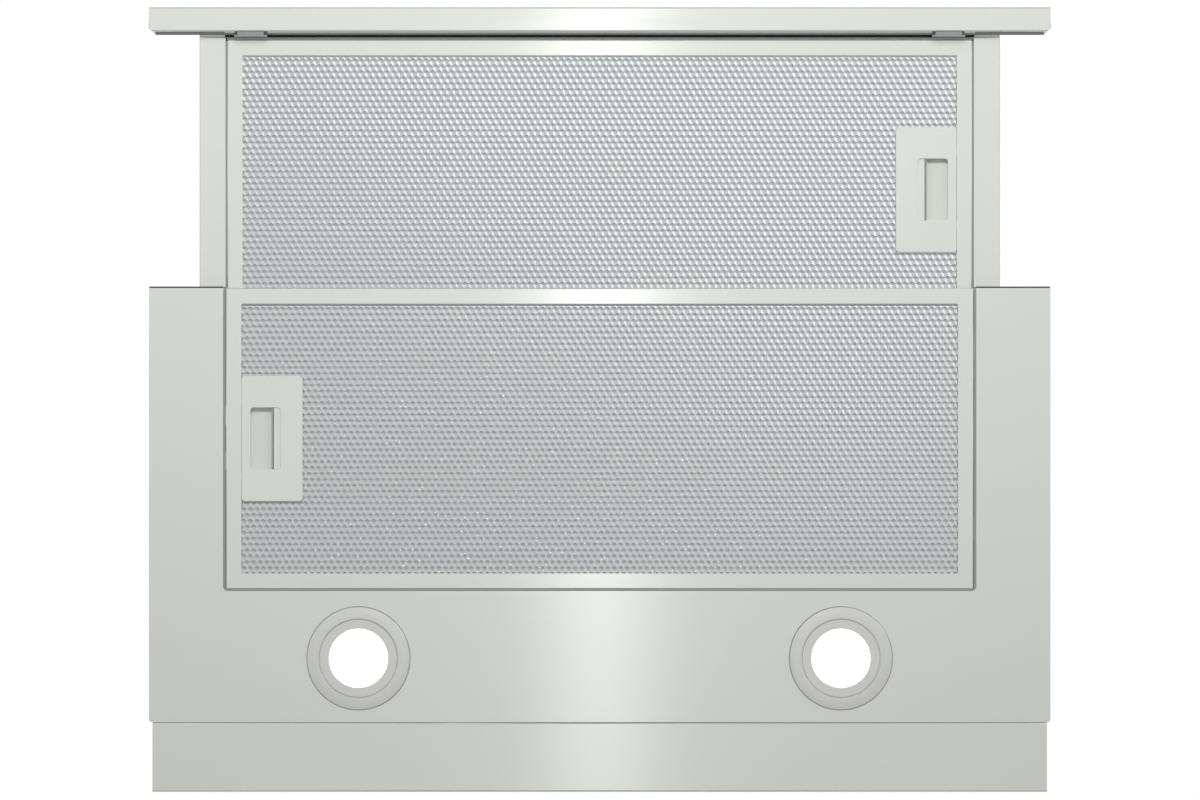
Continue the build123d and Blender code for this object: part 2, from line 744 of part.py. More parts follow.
def fascia_end_cap():
    """The right-hand plug that closes the fascia's hollow end."""
    top, corner, low, sill = fascia_line(FASCIA_SHEET + FASCIA_CAP_FIT)[:4]
    rear = FASCIA_REAR - FASCIA_CORNER - FASCIA_CAP_REAR_GAP
    step = (rear, sill[1])
    face = make_face(Polyline(top, corner, low, step, (rear, sill[1] + FASCIA_CAP_HEIGHT), close=True))
    face = fillet(face.vertices().sort_by(Axis.X)[:2], FASCIA_BEND)
    x1 = SIDE - FASCIA_CAP_INSET
    return along_x(face, x1 - FASCIA_CAP, x1)


def fascia_clip():
    """The right-hand clip that hooks under the fascia's bevel and is screwed to the tray's front wall."""
    y0 = TRAY_FRONT + TRAY_SHEET
    toe_y = y0 + CLIP_SHEET - CLIP_TOE
    under = (FASCIA_REAR - toe_y) / FASCIA_BEVEL
    low = FASCIA_LOW + FASCIA_BEVEL_RISE * (1 - under) - CLIP_GAP
    plate = block(
        CLIP_X - CLIP_WIDTH / 2,
        CLIP_X + CLIP_WIDTH / 2,
        y0,
        y0 + CLIP_SHEET,
        low - CLIP_SHEET,
        TRAY_TOP - CLIP_TOP_GAP,
    )
    toe = block(
        CLIP_X - CLIP_TOE_WIDTH / 2,
        CLIP_X + CLIP_TOE_WIDTH / 2,
        toe_y,
        y0 + CLIP_SHEET,
        low - CLIP_SHEET,
        low,
    )
    return plate + toe


# Grease filters, drawn with their front edge at y = 0, their lower face at z = 0 and the latch at +X

FILTER_HALF = FILTER_WIDTH / 2
WINDOW_HALF = FILTER_HALF - FILTER_BORDER
LATCH_Y = FILTER_DEPTH / 2
LATCH_X1 = WINDOW_HALF - LATCH_INSET
LATCH_X0 = LATCH_X1 - LATCH_WIDTH
CUP_X1 = LATCH_X1 - CUP_FROM_BORDER + CUP_WALL
CUP_X0 = CUP_X1 - CUP_WIDTH
SLIDER_LOW = FILTER_SHEET + SLIDER_GAP
SLIDER_TOP = SLIDER_LOW + SLIDER_THICK
SLIDER_INNER = CUP_X0 - LATCH_TRAVEL
SLIDER_HOLE = CUP_DEPTH / 2 + CUP_WALL + SLIDER_FIT
SLIDER_HALF = SLIDER_HOLE + SLIDER_ARM
TAB_LOW = FILTER_SHEET + TAB_LIFT


def tab_centres(filter_front):
    """Where the hinge tabs lie along a filter's end."""
    middle = filter_front + FILTER_DEPTH / 2
    return [middle - TAB_SPACING / 2, middle + TAB_SPACING / 2]


def latch_pocket(z0, z1):
    """The space inside the filter that the latch takes up."""
    half = LATCH_DEPTH / 2 - LATCH_LAP
    return block(
        LATCH_X0 + LATCH_LAP,
        LATCH_X1,
        LATCH_Y - half,
        LATCH_Y + half,
        z0,
        z1,
    )


def filter_frame():
    """A channel bent round the four sides, with hinge tabs at one end and tongue slots at the other."""
    body = block(-FILTER_HALF, FILTER_HALF, 0, FILTER_DEPTH, 0, FILTER_HEIGHT)
    body = fillet(body.edges().group_by(Axis.Z)[0], FILTER_EDGE)
    t = FILTER_SHEET
    body -= block(-FILTER_HALF + t, FILTER_HALF - t, t, FILTER_DEPTH - t, t, FILTER_HEIGHT - t)
    b = FILTER_BORDER
    body -= block(-WINDOW_HALF, WINDOW_HALF, b, FILTER_DEPTH - b, -OVER, FILTER_HEIGHT + OVER)
    for y in tab_centres(0):
        half = TAB_WIDTH / 2
        x0 = -FILTER_HALF - TAB_REACH
        body += block(x0, t - FILTER_HALF, y - half, y + half, TAB_LOW, TAB_LOW + TAB_SHEET)
    for y in tongue_centres():
        half = TONGUE_WIDTH / 2 + TONGUE_GAP
        body -= block(
            FILTER_HALF - t - OVER,
            FILTER_HALF + OVER,
            y - half,
            y + half,
            t,
            SLIDER_TOP + SLIDER_HEADROOM,
        )
    return body


def mesh_sheet():
    """The outer sheet of expanded metal, its gaps drawn coarse."""
    t = FILTER_SHEET + FILTER_FIT
    half_x = FILTER_HALF - t
    z0 = FILTER_SHEET
    outline = Pos(0, FILTER_DEPTH / 2) * Rectangle(2 * half_x, FILTER_DEPTH - 2 * t)
    slant = atan2(MESH_PITCH_Y, MESH_PITCH_X)
    gap_x = MESH_PITCH_X - MESH_STRAND / sin(slant)
    gap_y = MESH_PITCH_Y - MESH_STRAND / cos(slant)
    diamond = make_face(
        Polyline((gap_x / 2, 0), (0, gap_y / 2), (-gap_x / 2, 0), (0, -gap_y / 2), close=True)
    )
    columns = int((WINDOW_HALF - gap_x / 2) / (MESH_PITCH_X / 2))
    rows = int((FILTER_DEPTH / 2 - FILTER_BORDER - gap_y / 2) / (MESH_PITCH_Y / 2))
    clear_x = LATCH_X0 - gap_x / 2 - MESH_STRAND / 2
    clear_y = LATCH_DEPTH / 2 + gap_y / 2 + MESH_STRAND / 2
    gaps = []
    for i in range(-columns, columns + 1):
        for j in range(-rows, rows + 1):
            x = i * MESH_PITCH_X / 2
            y = j * MESH_PITCH_Y / 2
            if (i + j) % 2 == 0 and not (x > clear_x and abs(y) < clear_y):
                gaps.append(Pos(x, FILTER_DEPTH / 2 + y) * diamond)
    sheet = extrude(Pos(0, 0, z0) * (outline - gaps), MESH_SHEET)
    return sheet - latch_pocket(-OVER, FILTER_HEIGHT) - slider_way()


def slider_way():
    """The space that the slider's outer end and tongues need beyond the latch pocket."""
    half = SLIDER_HALF + TONGUE_GAP
    top = SLIDER_TOP + SLIDER_HEADROOM
    return block(LATCH_X1 - OVER, FILTER_HALF, LATCH_Y - half, LATCH_Y + half, -OVER, top)


def filter_layers():
    """The stack of finer sheets above the outer one, as one slab."""
    t = FILTER_SHEET + FILTER_FIT
    z0 = FILTER_SHEET + MESH_SHEET + LAYER_GAP
    slab = block(
        -FILTER_HALF + t,
        FILTER_HALF - t,
        t,
        FILTER_DEPTH - t,
        z0,
        FILTER_HEIGHT - FILTER_SHEET,
    )
    return slab - latch_pocket(-OVER, FILTER_HEIGHT) - slider_way()


def latch_plate():
    """The plate over the latch, with its pressed finger cup open towards the slider's lip."""
    half = LATCH_DEPTH / 2
    plate = round_block(LATCH_X0, LATCH_X1, LATCH_Y - half, LATCH_Y + half, 0, FILTER_SHEET, LATCH_CORNER)
    w = CUP_WALL
    cup_half = CUP_DEPTH / 2
    cup = block(CUP_X0, CUP_X1 + w, LATCH_Y - cup_half - w, LATCH_Y + cup_half + w, 0, CUP_HEIGHT)
    hollow = round_block(
        CUP_X0,
        CUP_X1,
        LATCH_Y - cup_half,
        LATCH_Y + cup_half,
        -OVER,
        CUP_HEIGHT - w,
        CUP_CORNER,
    )
    mouth = block(
        CUP_X0 - OVER,
        CUP_X0 + CUP_CORNER,
        LATCH_Y - cup_half,
        LATCH_Y + cup_half,
        FILTER_SHEET,
        SLIDER_TOP + SLIDER_HEADROOM,
    )
    post_x = SLIDER_INNER - LATCH_TRAVEL - SPRING_SHEET - POST_GAP
    post = block(
        post_x - POST_SHEET,
        post_x,
        LATCH_Y - POST_LENGTH / 2,
        LATCH_Y + POST_LENGTH / 2,
        FILTER_SHEET,
        FILTER_SHEET + POST_HEIGHT,
    )
    return plate + cup + post - hollow - mouth


def tongue_centres():
    return [LATCH_Y - TONGUE_SPACING / 2, LATCH_Y + TONGUE_SPACING / 2]


def latch_slider():
    """The sprung slider: a ring round the cup, a lip inside it and two tongues through the frame."""
    y0 = LATCH_Y - SLIDER_HALF
    y1 = LATCH_Y + SLIDER_HALF
    x1 = FILTER_HALF - FILTER_SHEET - SLIDER_FIT
    ring = block(SLIDER_INNER, x1, y0, y1, SLIDER_LOW, SLIDER_TOP)
    hole_x0 = CUP_X0 - SLIDER_EDGE
    hole_x1 = CUP_X1 + CUP_WALL + SLIDER_FIT + LATCH_TRAVEL
    ring -= block(hole_x0, hole_x1, y0 + SLIDER_ARM, y1 - SLIDER_ARM, -OVER, SLIDER_TOP + OVER)
    lip_half = CUP_DEPTH / 2 - SLIDER_FIT
    ring += block(
        hole_x0 - OVER,
        CUP_X0 + SLIDER_LIP,
        LATCH_Y - lip_half,
        LATCH_Y + lip_half,
        SLIDER_LOW,
        SLIDER_TOP,
    )
    for y in tongue_centres():
        half = TONGUE_WIDTH / 2
        ring += block(x1 - OVER, FILTER_HALF + TONGUE_REACH, y - half, y + half, SLIDER_LOW, SLIDER_TOP)
    return ring


def latch_spring():
    """The bowed leaf spring that pushes the slider out."""
    half = SPRING_SPAN / 2
    rest_x = SLIDER_INNER - SPRING_FIT
    foot_x = SLIDER_INNER - LATCH_TRAVEL - SPRING_SHEET
    outer = ThreePointArc((foot_x, LATCH_Y - half), (rest_x, LATCH_Y), (foot_x, LATCH_Y + half))
    inner = ThreePointArc(
        (foot_x - SPRING_SHEET, LATCH_Y + half),
        (rest_x - SPRING_SHEET, LATCH_Y),
        (foot_x - SPRING_SHEET, LATCH_Y - half),
    )
    ends = [Line(outer @ 1, inner @ 0), Line(inner @ 1, outer @ 0)]
    face = make_face(Wire([outer, ends[0], inner, ends[1]]))
    return extrude(Pos(0, 0, SLIDER_LOW) * face, SPRING_HEIGHT)


def place_front(part):
    """Carries a filter piece to the tray."""
    return Pos(0, FRONT_FILTER_FRONT, FRONT_FILTER_LOW) * part


def place_rear(part):
    """Carries a filter piece to the casing's opening, its latch at -X."""
    centre = Pos(0, -FILTER_DEPTH / 2, 0) * part
    return Pos(0, FRONT + FILTER_DEPTH / 2, PANEL_LOW) * Rot(0, 0, 180) * centre


# Lamps

def lamp_bezel(x):
    """The stepped ring round a lamp, a turned profile that clamps over the panel."""
    z = PANEL_LOW
    p = LAMP_PROUD
    bore = LAMP_LENS_R + LAMP_LENS_FIT
    collar = bore + LAMP_RING_WALL
    outline = Polyline(
        (bore, z - p + LAMP_DISH),
        (LAMP_STEP_R - LAMP_DISH, z - p + LAMP_DISH),
        (LAMP_STEP_R, z - p),
        (LAMP_RING_R - LAMP_RING_EDGE, z - p),
        (LAMP_RING_R, z),
        (collar, z),
        (collar, z + LAMP_LENS_THICK),
        (bore, z + LAMP_LENS_THICK),
        close=True,
    )
    return Pos(x, LAMP_Y, 0) * revolve(Plane.XZ * make_face(outline), Axis.Z)


def lamp_lens(x):
    """The diffuser set just inside the ring."""
    z0 = PANEL_LOW - LAMP_PROUD + LAMP_LENS_SINK
    return drum(x, LAMP_Y, z0, z0 + LAMP_LENS_THICK, LAMP_LENS_R)


def lamp_housing(x):
    """The finned cup above the panel."""
    z0 = PANEL_LOW + LAMP_LENS_THICK
    z1 = z0 + LAMP_BODY_HEIGHT
    root = z1 - LAMP_FIN_HEIGHT
    cup = drum(x, LAMP_Y, z0, z1, LAMP_BODY_R)
    cup -= drum(x, LAMP_Y, z0 - OVER, root - LAMP_CUP_WALL, LAMP_BODY_R - LAMP_CUP_WALL)
    pitch = 2 * LAMP_BODY_R / LAMP_FINS
    y0 = LAMP_Y - LAMP_RING_R
    y1 = LAMP_Y + LAMP_RING_R
    for i in range(1, LAMP_FINS):
        gap_x = x - LAMP_BODY_R + i * pitch
        cup -= block(gap_x - pitch / 4, gap_x + pitch / 4, y0, y1, root, z1 + OVER)
    return cup


def lamp_board(x):
    """The light board against the roof of the cup."""
    z1 = PANEL_LOW + LAMP_LENS_THICK + LAMP_BODY_HEIGHT - LAMP_FIN_HEIGHT - LAMP_CUP_WALL
    return drum(x, LAMP_Y, z1 - LAMP_BOARD, z1, LAMP_BODY_R - LAMP_CUP_WALL - LAMP_BOARD_GAP)


def lamp_clip(x, side):
    """A spring clip that holds the cup down on the panel."""
    root = LAMP_BODY_R
    high = PANEL_TOP + LAMP_CLIP_RISE
    line = [(root, high + LAMP_CLIP_TOP), (root, high), (root + LAMP_CLIP_REACH, PANEL_TOP)]
    section = folded(line, LAMP_CLIP_SHEET, Side.LEFT, LAMP_CLIP_BEND)
    clip = along_y(section, -LAMP_CLIP_WIDTH / 2, LAMP_CLIP_WIDTH / 2)
    clip -= block(0, LAMP_X, -LAMP_CLIP_WIDTH, LAMP_CLIP_WIDTH, PANEL_LOW - OVER, PANEL_TOP)
    return Pos(x, LAMP_Y, 0) * Rot(0, 0, 90 * side) * clip


# Blower, drawn about a shaft along X

def scroll_outline(grow=0.0):
    """The casing seen along the shaft: arcs whose centres go round a small square, as a volute is laid out.

    Each arc's radius is longer than the one before by the square's side, from the cut-off to the outlet.
    """
    side = SCROLL_GROWTH / 3.5
    start = acos((SCROLL_START * cos(radians(CUTOFF_ANGLE)) - grow) / (SCROLL_START + grow))
    angles = [start, pi / 2, pi, 1.5 * pi, 2 * pi]
    arcs = []
    for i, (y, z) in enumerate([(-0.5, 0.5), (-0.5, -0.5), (0.5, -0.5), (0.5, 0.5)]):
        centre = Vector(BLOWER_Y + y * side, BLOWER_Z + z * side)
        radius = SCROLL_START + side * i + grow
        ends = (angles[i], (angles[i] + angles[i + 1]) / 2, angles[i + 1])
        arcs.append(ThreePointArc(*[centre + Vector(cos(a), sin(a)) * radius for a in ends]))
    first = arcs[0] @ 0
    last = arcs[-1] @ 1
    outlet = Polyline(last, (last.X, COVER_LOW), (first.X, COVER_LOW), first)
    return make_face(Wire(arcs + list(outlet.edges())))


def scroll_half(side):
    """One half of the blower casing, open at the joint plane, with a rolled inlet and a screwing rim."""
    half = SCROLL_WIDTH / 2
    wall = SCROLL_WALL
    shell = along_x(scroll_outline(wall), 0, half) - along_x(scroll_outline(), -OVER, half - wall)
    shell += rod_x(half - wall, half + INLET_LIP, BLOWER_Y, BLOWER_Z, INLET_R + wall)
    shell -= rod_x(0, half + INLET_LIP + OVER, BLOWER_Y, BLOWER_Z, INLET_R)
    rim_face = scroll_outline(wall + SCROLL_FLANGE) - scroll_outline(wall / 2)
    rim = along_x(rim_face, 0, SCROLL_RIM) & block(0, SCROLL_RIM, -THROUGH, THROUGH, -THROUGH, BLOWER_Z)
    shell += rim
    return shell if side > 0 else mirror(shell, Plane.YZ)


def wheel_ring(x0, x1, outer, inner):
    """A ring of the wheel, with one flat for each blade."""
    turn = 180 / BLADE_COUNT
    rim = RegularPolygon(outer, BLADE_COUNT, rotation=turn)
    hole = RegularPolygon(inner, BLADE_COUNT, rotation=turn)
    return along_x(rim - hole, x0, x1)


def impeller():
    """The double-inlet wheel: forward-curved blades on a middle disc, tied by end rings."""
    half = WHEEL_WIDTH / 2
    root_r = WHEEL_R - BLADE_DEPTH
    wheel = wheel_ring(-WHEEL_DISC / 2, WHEEL_DISC / 2, WHEEL_R - WHEEL_DISC_GAP, (SHAFT_R + HUB_R) / 2)
    wheel += rod_x(-HUB_LENGTH, WHEEL_DISC / 2, 0, 0, HUB_R)
    wheel += wheel_ring(-half, -half + WHEEL_RING, WHEEL_R, WHEEL_R - WHEEL_RING_DEPTH)
    wheel += wheel_ring(half - WHEEL_RING, half, WHEEL_R, WHEEL_R - WHEEL_RING_DEPTH)
    lean = radians(BLADE_LEAN)
    tip = Vector(cos(lean), sin(lean)) * (WHEEL_R - BLADE_TIP_GAP)
    root = Vector(root_r, 0)
    middle = (tip + root) * 0.5 - Vector(0, BLADE_BULGE)
    shift = Vector(-0.3 * BLADE_THICK, BLADE_THICK)
    outline = Polyline(root, middle, tip, tip + shift * 0.6, middle + shift, root + shift, close=True)
    blade = along_x(make_face(outline), -half + WHEEL_RING / 4, half - WHEEL_RING / 4)
    wheel = wheel.fuse(*[Rot(360 / BLADE_COUNT * i, 0, 0) * blade for i in range(BLADE_COUNT)])
    wheel -= rod_x(-half, half, 0, 0, SHAFT_R)
    return Pos(0, BLOWER_Y, BLOWER_Z) * wheel


MOTOR_START = SCROLL_WIDTH / 2 - MOTOR_INSIDE
MOTOR_END = MOTOR_START + STACK_LENGTH + 2 * END_BELL


def motor_shaft():
    """The shaft through the motor and into the wheel's hub."""
    x0 = -HUB_LENGTH - SHAFT_PAST_HUB
    return rod_x(x0, MOTOR_END + SHAFT_PAST_MOTOR, BLOWER_Y, BLOWER_Z, SHAFT_R)


def motor_stack():
    """The stator's laminated ring, with its four through-bolt flats."""
    x0 = MOTOR_START + END_BELL
    x1 = x0 + STACK_LENGTH
    bore = rod_x(x0 - OVER, x1 + OVER, BLOWER_Y, BLOWER_Z, SHAFT_R + SHAFT_CLEARANCE)
    return rod_x(x0, x1, BLOWER_Y, BLOWER_Z, MOTOR_R) - bore


def end_bell(x0, side):
    """A domed motor end with a bearing boss."""
    r = MOTOR_R - BELL_STEP
    bore = SHAFT_R + SHAFT_CLEARANCE
    boss = SHAFT_R + BEARING_WALL
    profile = Polyline(
        (bore, 0),
        (r, 0),
        (r, BELL_RIM),
        (boss, END_BELL - BOSS_LENGTH),
        (boss, END_BELL),
        (bore, END_BELL),
        close=True,
    )
    bell = revolve(Plane.XZ * make_face(profile), Axis.Z)
    return Pos(x0, BLOWER_Y, BLOWER_Z) * Rot(0, 90 * side, 0) * bell


def bracket_angles():
    return [90, 210, 330]


def motor_bracket():
    """The three-armed bracket between the motor's outer end and the blower's casing."""
    x0 = MOTOR_END - BOSS_LENGTH
    x1 = x0 + BRACKET_SHEET
    inner = SHAFT_R + BEARING_WALL + BRACKET_FIT
    outer = inner + BRACKET_HUB
    half = BRACKET_ARM / 2
    tip = BRACKET_RING_R + half + BRACKET_TIP
    foot = SCROLL_WIDTH / 2 + GROMMET_HEIGHT
    bracket = rod_x(x0, x1, 0, 0, outer) - rod_x(x0 - OVER, x1 + OVER, 0, 0, inner)
    for angle in bracket_angles():
        arm = block(x0, x1, outer - 2 * OVER, tip, -half, half)
        leg = block(foot, x1, tip - BRACKET_SHEET, tip, -half, half)
        pad = block(foot, foot + BRACKET_SHEET, BRACKET_RING_R - half, tip, -half, half)
        bracket += Rot(angle, 0, 0) * (arm + leg + pad)
    return Pos(0, BLOWER_Y, BLOWER_Z) * bracket


def motor_grommet(angle):
    """A rubber foot between the bracket and the blower casing."""
    x0 = SCROLL_WIDTH / 2
    foot = Pos(0, BRACKET_RING_R, 0) * peg_x(x0, x0 + GROMMET_HEIGHT, BRACKET_ARM / 2)
    return Pos(0, BLOWER_Y, BLOWER_Z) * Rot(angle, 0, 0) * foot


# Duct spigot

def spigot():
    """The outlet collar: flange, tube with a bead, and the seat that the flaps close on."""
    r = SPIGOT_R
    z0 = UPPER_HEIGHT
    z1 = z0 + SPIGOT_FLANGE_THICK
    z2 = z0 + SPIGOT_HEIGHT
    seat = FLAP_Z - FLAP_THICK / 2 - FLAP_SEAT_GAP
    wall = SPIGOT_WALL
    outline = Polyline(
        (r - wall, z0),
        (r + SPIGOT_FLANGE, z0),
        (r + SPIGOT_FLANGE, z1),
        (r, z1),
        (r, z2),
        (r - wall, z2),
        (r - wall, seat),
        (r - wall - SPIGOT_SEAT, seat),
        (r - wall, seat - SPIGOT_SEAT),
        close=True,
    )
    collar = revolve(Plane.XZ * make_face(outline), Axis.Z)
    collar -= rod_x(-r - OVER, r + OVER, 0, FLAP_Z, FLAP_ROD_R)
    collar = Pos(0, SPIGOT_Y, 0) * collar
    for x, y in spigot_screws():
        collar -= pilot(x, y, z0)
    return collar


def spigot_screws():
    r = SPIGOT_R + SPIGOT_FLANGE / 2
    return [(r * cos(radians(a)), SPIGOT_Y + r * sin(radians(a))) for a in (45, 135, 225, 315)]


def flap_rod():
    """The steel pin across the collar that both flaps hang on."""
    r = SPIGOT_R
    return rod_x(-r, r, SPIGOT_Y, FLAP_Z, FLAP_ROD_R)


def flap(side):
    """A half-round non-return flap with two knuckles round the pin."""
    r = SPIGOT_R - SPIGOT_WALL - FLAP_CLEARANCE
    disc = Cylinder(r, FLAP_THICK)
    start = FLAP_KNUCKLE_R + FLAP_CLEARANCE
    plate = disc & block(-r, r, start, r + OVER, -FLAP_THICK, FLAP_THICK)
    shift = side * (FLAP_KNUCKLE + FLAP_CLEARANCE) / 2
    for middle in (-FLAP_KNUCKLE_X, FLAP_KNUCKLE_X):
        x = middle - shift - FLAP_KNUCKLE / 2
        sleeve = peg_x(x, x + FLAP_KNUCKLE, FLAP_KNUCKLE_R)
        arm = block(x, x + FLAP_KNUCKLE, 0, start + OVER, -FLAP_THICK / 2, FLAP_THICK / 2)
        plate += sleeve + arm
    plate -= peg_x(-r, r, FLAP_ROD_R + ROD_CLEARANCE)
    return Pos(0, SPIGOT_Y, FLAP_Z) * (plate if side > 0 else mirror(plate, Plane.XZ))


# Front cheeks and switches

CHEEK_INNER_X = TRAY_OUTER_X + TRAY_CLEARANCE
CHEEK_STRIP_TOP = TRAY_LOW - CHEEK_WALL_GAP
CHEEK_OUTER_X = SIDE - SHEET - CHEEK_FIT
SPEED_X = SIDE - SWITCH_INSET
LIGHT_X = SPEED_X - SWITCH_PITCH
SWITCH_Z = -CASING_HEIGHT / 2
SWITCH_FLOOR = FRONT - CHEEK_PROUD + SWITCH_POCKET


def cheek():
    """The right-hand moulding that closes the casing's front edge beside and below the tray."""
    y0 = FRONT - CHEEK_PROUD
    y1 = FRONT + CHEEK_THICK
    strip = OPENING_X + SHEET + 2 * CHEEK_FIT
    upright = block(CHEEK_INNER_X, CHEEK_OUTER_X, y0, y1, PANEL_TOP, -SHEET)
    low = block(strip, CHEEK_INNER_X + OVER, y0, y1, PANEL_TOP, CHEEK_STRIP_TOP)
    edge = SIDE - 2 * CHEEK_FIT
    skirt = block(strip - OVER, edge, y0, FRONT, PANEL_LOW + CHEEK_FIT, PANEL_TOP + OVER)
    return upright + low + skirt


def switch_cheek():
    """The right-hand cheek with the pocket that its two switches are sunk in, and their slots."""
    x0 = LIGHT_X - KNOB_WIDTH / 2 - SWITCH_POCKET_ROOM
    x1 = SPEED_X + KNOB_WIDTH / 2 + SWITCH_POCKET_ROOM
    half_z = (SPEED_TRAVEL + KNOB_HEIGHT) / 2 + SWITCH_POCKET_ROOM
    z0 = SWITCH_Z - half_z
    z1 = SWITCH_Z + half_z
    w = SWITCH_WALL
    part = cheek() + block(x0 - w, x1 + w, FRONT, SWITCH_FLOOR + w, z0 - w, z1 + w)
    part -= block(x0, x1, FRONT - CHEEK_PROUD - OVER, SWITCH_FLOOR, z0, z1)
    y0 = SWITCH_FLOOR - OVER
    y1 = SWITCH_FLOOR + w + OVER
    for x, travel in ((SPEED_X, SPEED_TRAVEL), (LIGHT_X, LIGHT_TRAVEL)):
        half = SWITCH_SLOT / 2 + SWITCH_CLEARANCE
        reach = (travel + NECK_HEIGHT) / 2 + SWITCH_CLEARANCE
        part -= block(x - half, x + half, y0, y1, SWITCH_Z - reach, SWITCH_Z + reach)
    return part


def switch_slider(x, travel):
    """A knob in the pocket and its foot behind, joined through the slot. Drawn at its lowest stop."""
    z = SWITCH_Z - travel / 2
    front = SWITCH_FLOOR - KNOB_GAP
    rear = SWITCH_FLOOR + SWITCH_WALL + KNOB_GAP
    knob = block(
        x - KNOB_WIDTH / 2,
        x + KNOB_WIDTH / 2,
        SWITCH_FLOOR - KNOB_PROUD,
        front,
        z - KNOB_HEIGHT / 2,
        z + KNOB_HEIGHT / 2,
    )
    knob = fillet(knob.edges().filter_by(Axis.X).group_by(Axis.Y)[0], KNOB_EDGE)
    neck_x = SWITCH_SLOT / 2
    neck_z = NECK_HEIGHT / 2
    neck = block(x - neck_x, x + neck_x, front - OVER, rear + OVER, z - neck_z, z + neck_z)
    foot_x = FOOT_WIDTH / 2
    foot_z = FOOT_HEIGHT / 2
    foot = block(x - foot_x, x + foot_x, rear, rear + FOOT_THICK, z - foot_z, z + foot_z)
    return knob + neck + foot


# Electrical box

def box_range():
    """The electrical box's corner lines, against the housing's right wall under the cover."""
    x1 = UPPER_INNER_X - BOX_TOP_GAP
    z1 = COVER_LOW - SHEET - BOX_TOP_GAP
    return x1 - BOX_WIDTH, x1, -BOX_DEPTH / 2, BOX_DEPTH / 2, z1 - BOX_HEIGHT, z1


def gland_point():
    x0, x1, y0, y1, z0, z1 = box_range()
    return x0 + GLAND_INSET_X, y1 - GLAND_INSET_Y


def control_box():
    """The moulded box for the terminals, open at the bottom for its lid."""
    x0, x1, y0, y1, z0, z1 = box_range()
    w = BOX_WALL
    shell = round_block(x0, x1, y0, y1, z0, z1, BOX_CORNER)
    shell -= block(x0 + w, x1 - w, y0 + w, y1 - w, z0 - OVER, z1 - w)
    gland_x, gland_y = gland_point()
    shell -= drum(gland_x, gland_y, z1 - w - OVER, z1 + OVER, GLAND_R + GLAND_FIT)
    return shell


def control_box_lid():
    """The lid under the box, with a rim that drops inside its walls."""
    x0, x1, y0, y1, z0, z1 = box_range()
    w = BOX_WALL
    lid = block(x0, x1, y0, y1, z0 - w, z0)
    lid = chamfer(lid.edges().filter_by(Axis.Z), BOX_CORNER / 2)
    outer = w + LID_FIT
    inner = outer + LID_RIM
    rim = block(x0 + outer, x1 - outer, y0 + outer, y1 - outer, z0 - OVER, z0 + LID_RIM_HEIGHT)
    rim -= block(x0 + inner, x1 - inner, y0 + inner, y1 - inner, z0 - w, z0 + LID_RIM_HEIGHT + OVER)
    return lid + rim


def capacitor():
    """The motor capacitor inside the box."""
    x0, x1, y0, y1, z0, z1 = box_range()
    x = (x0 + x1) / 2
    y = y0 + BOX_WALL + CAPACITOR_INSET
    return rod_y(x, y, y + CAPACITOR_LENGTH, z0 + CAPACITOR_LIFT + CAPACITOR_R, CAPACITOR_R)


def cable_gland():
    """The gland through the cover into the box, empty."""
    x, y = gland_point()
    z1 = UPPER_HEIGHT + GLAND_HEIGHT
    low = COVER_LOW - SHEET - BOX_TOP_GAP - 3 * BOX_WALL
    nut = extrude(Pos(x, y, UPPER_HEIGHT) * RegularPolygon(GLAND_NUT_R, 6), GLAND_NUT_HEIGHT)
    body = drum(x, y, low, z1, GLAND_R)
    return nut + body - drum(x, y, low - OVER, z1 + OVER, GLAND_BORE_R)


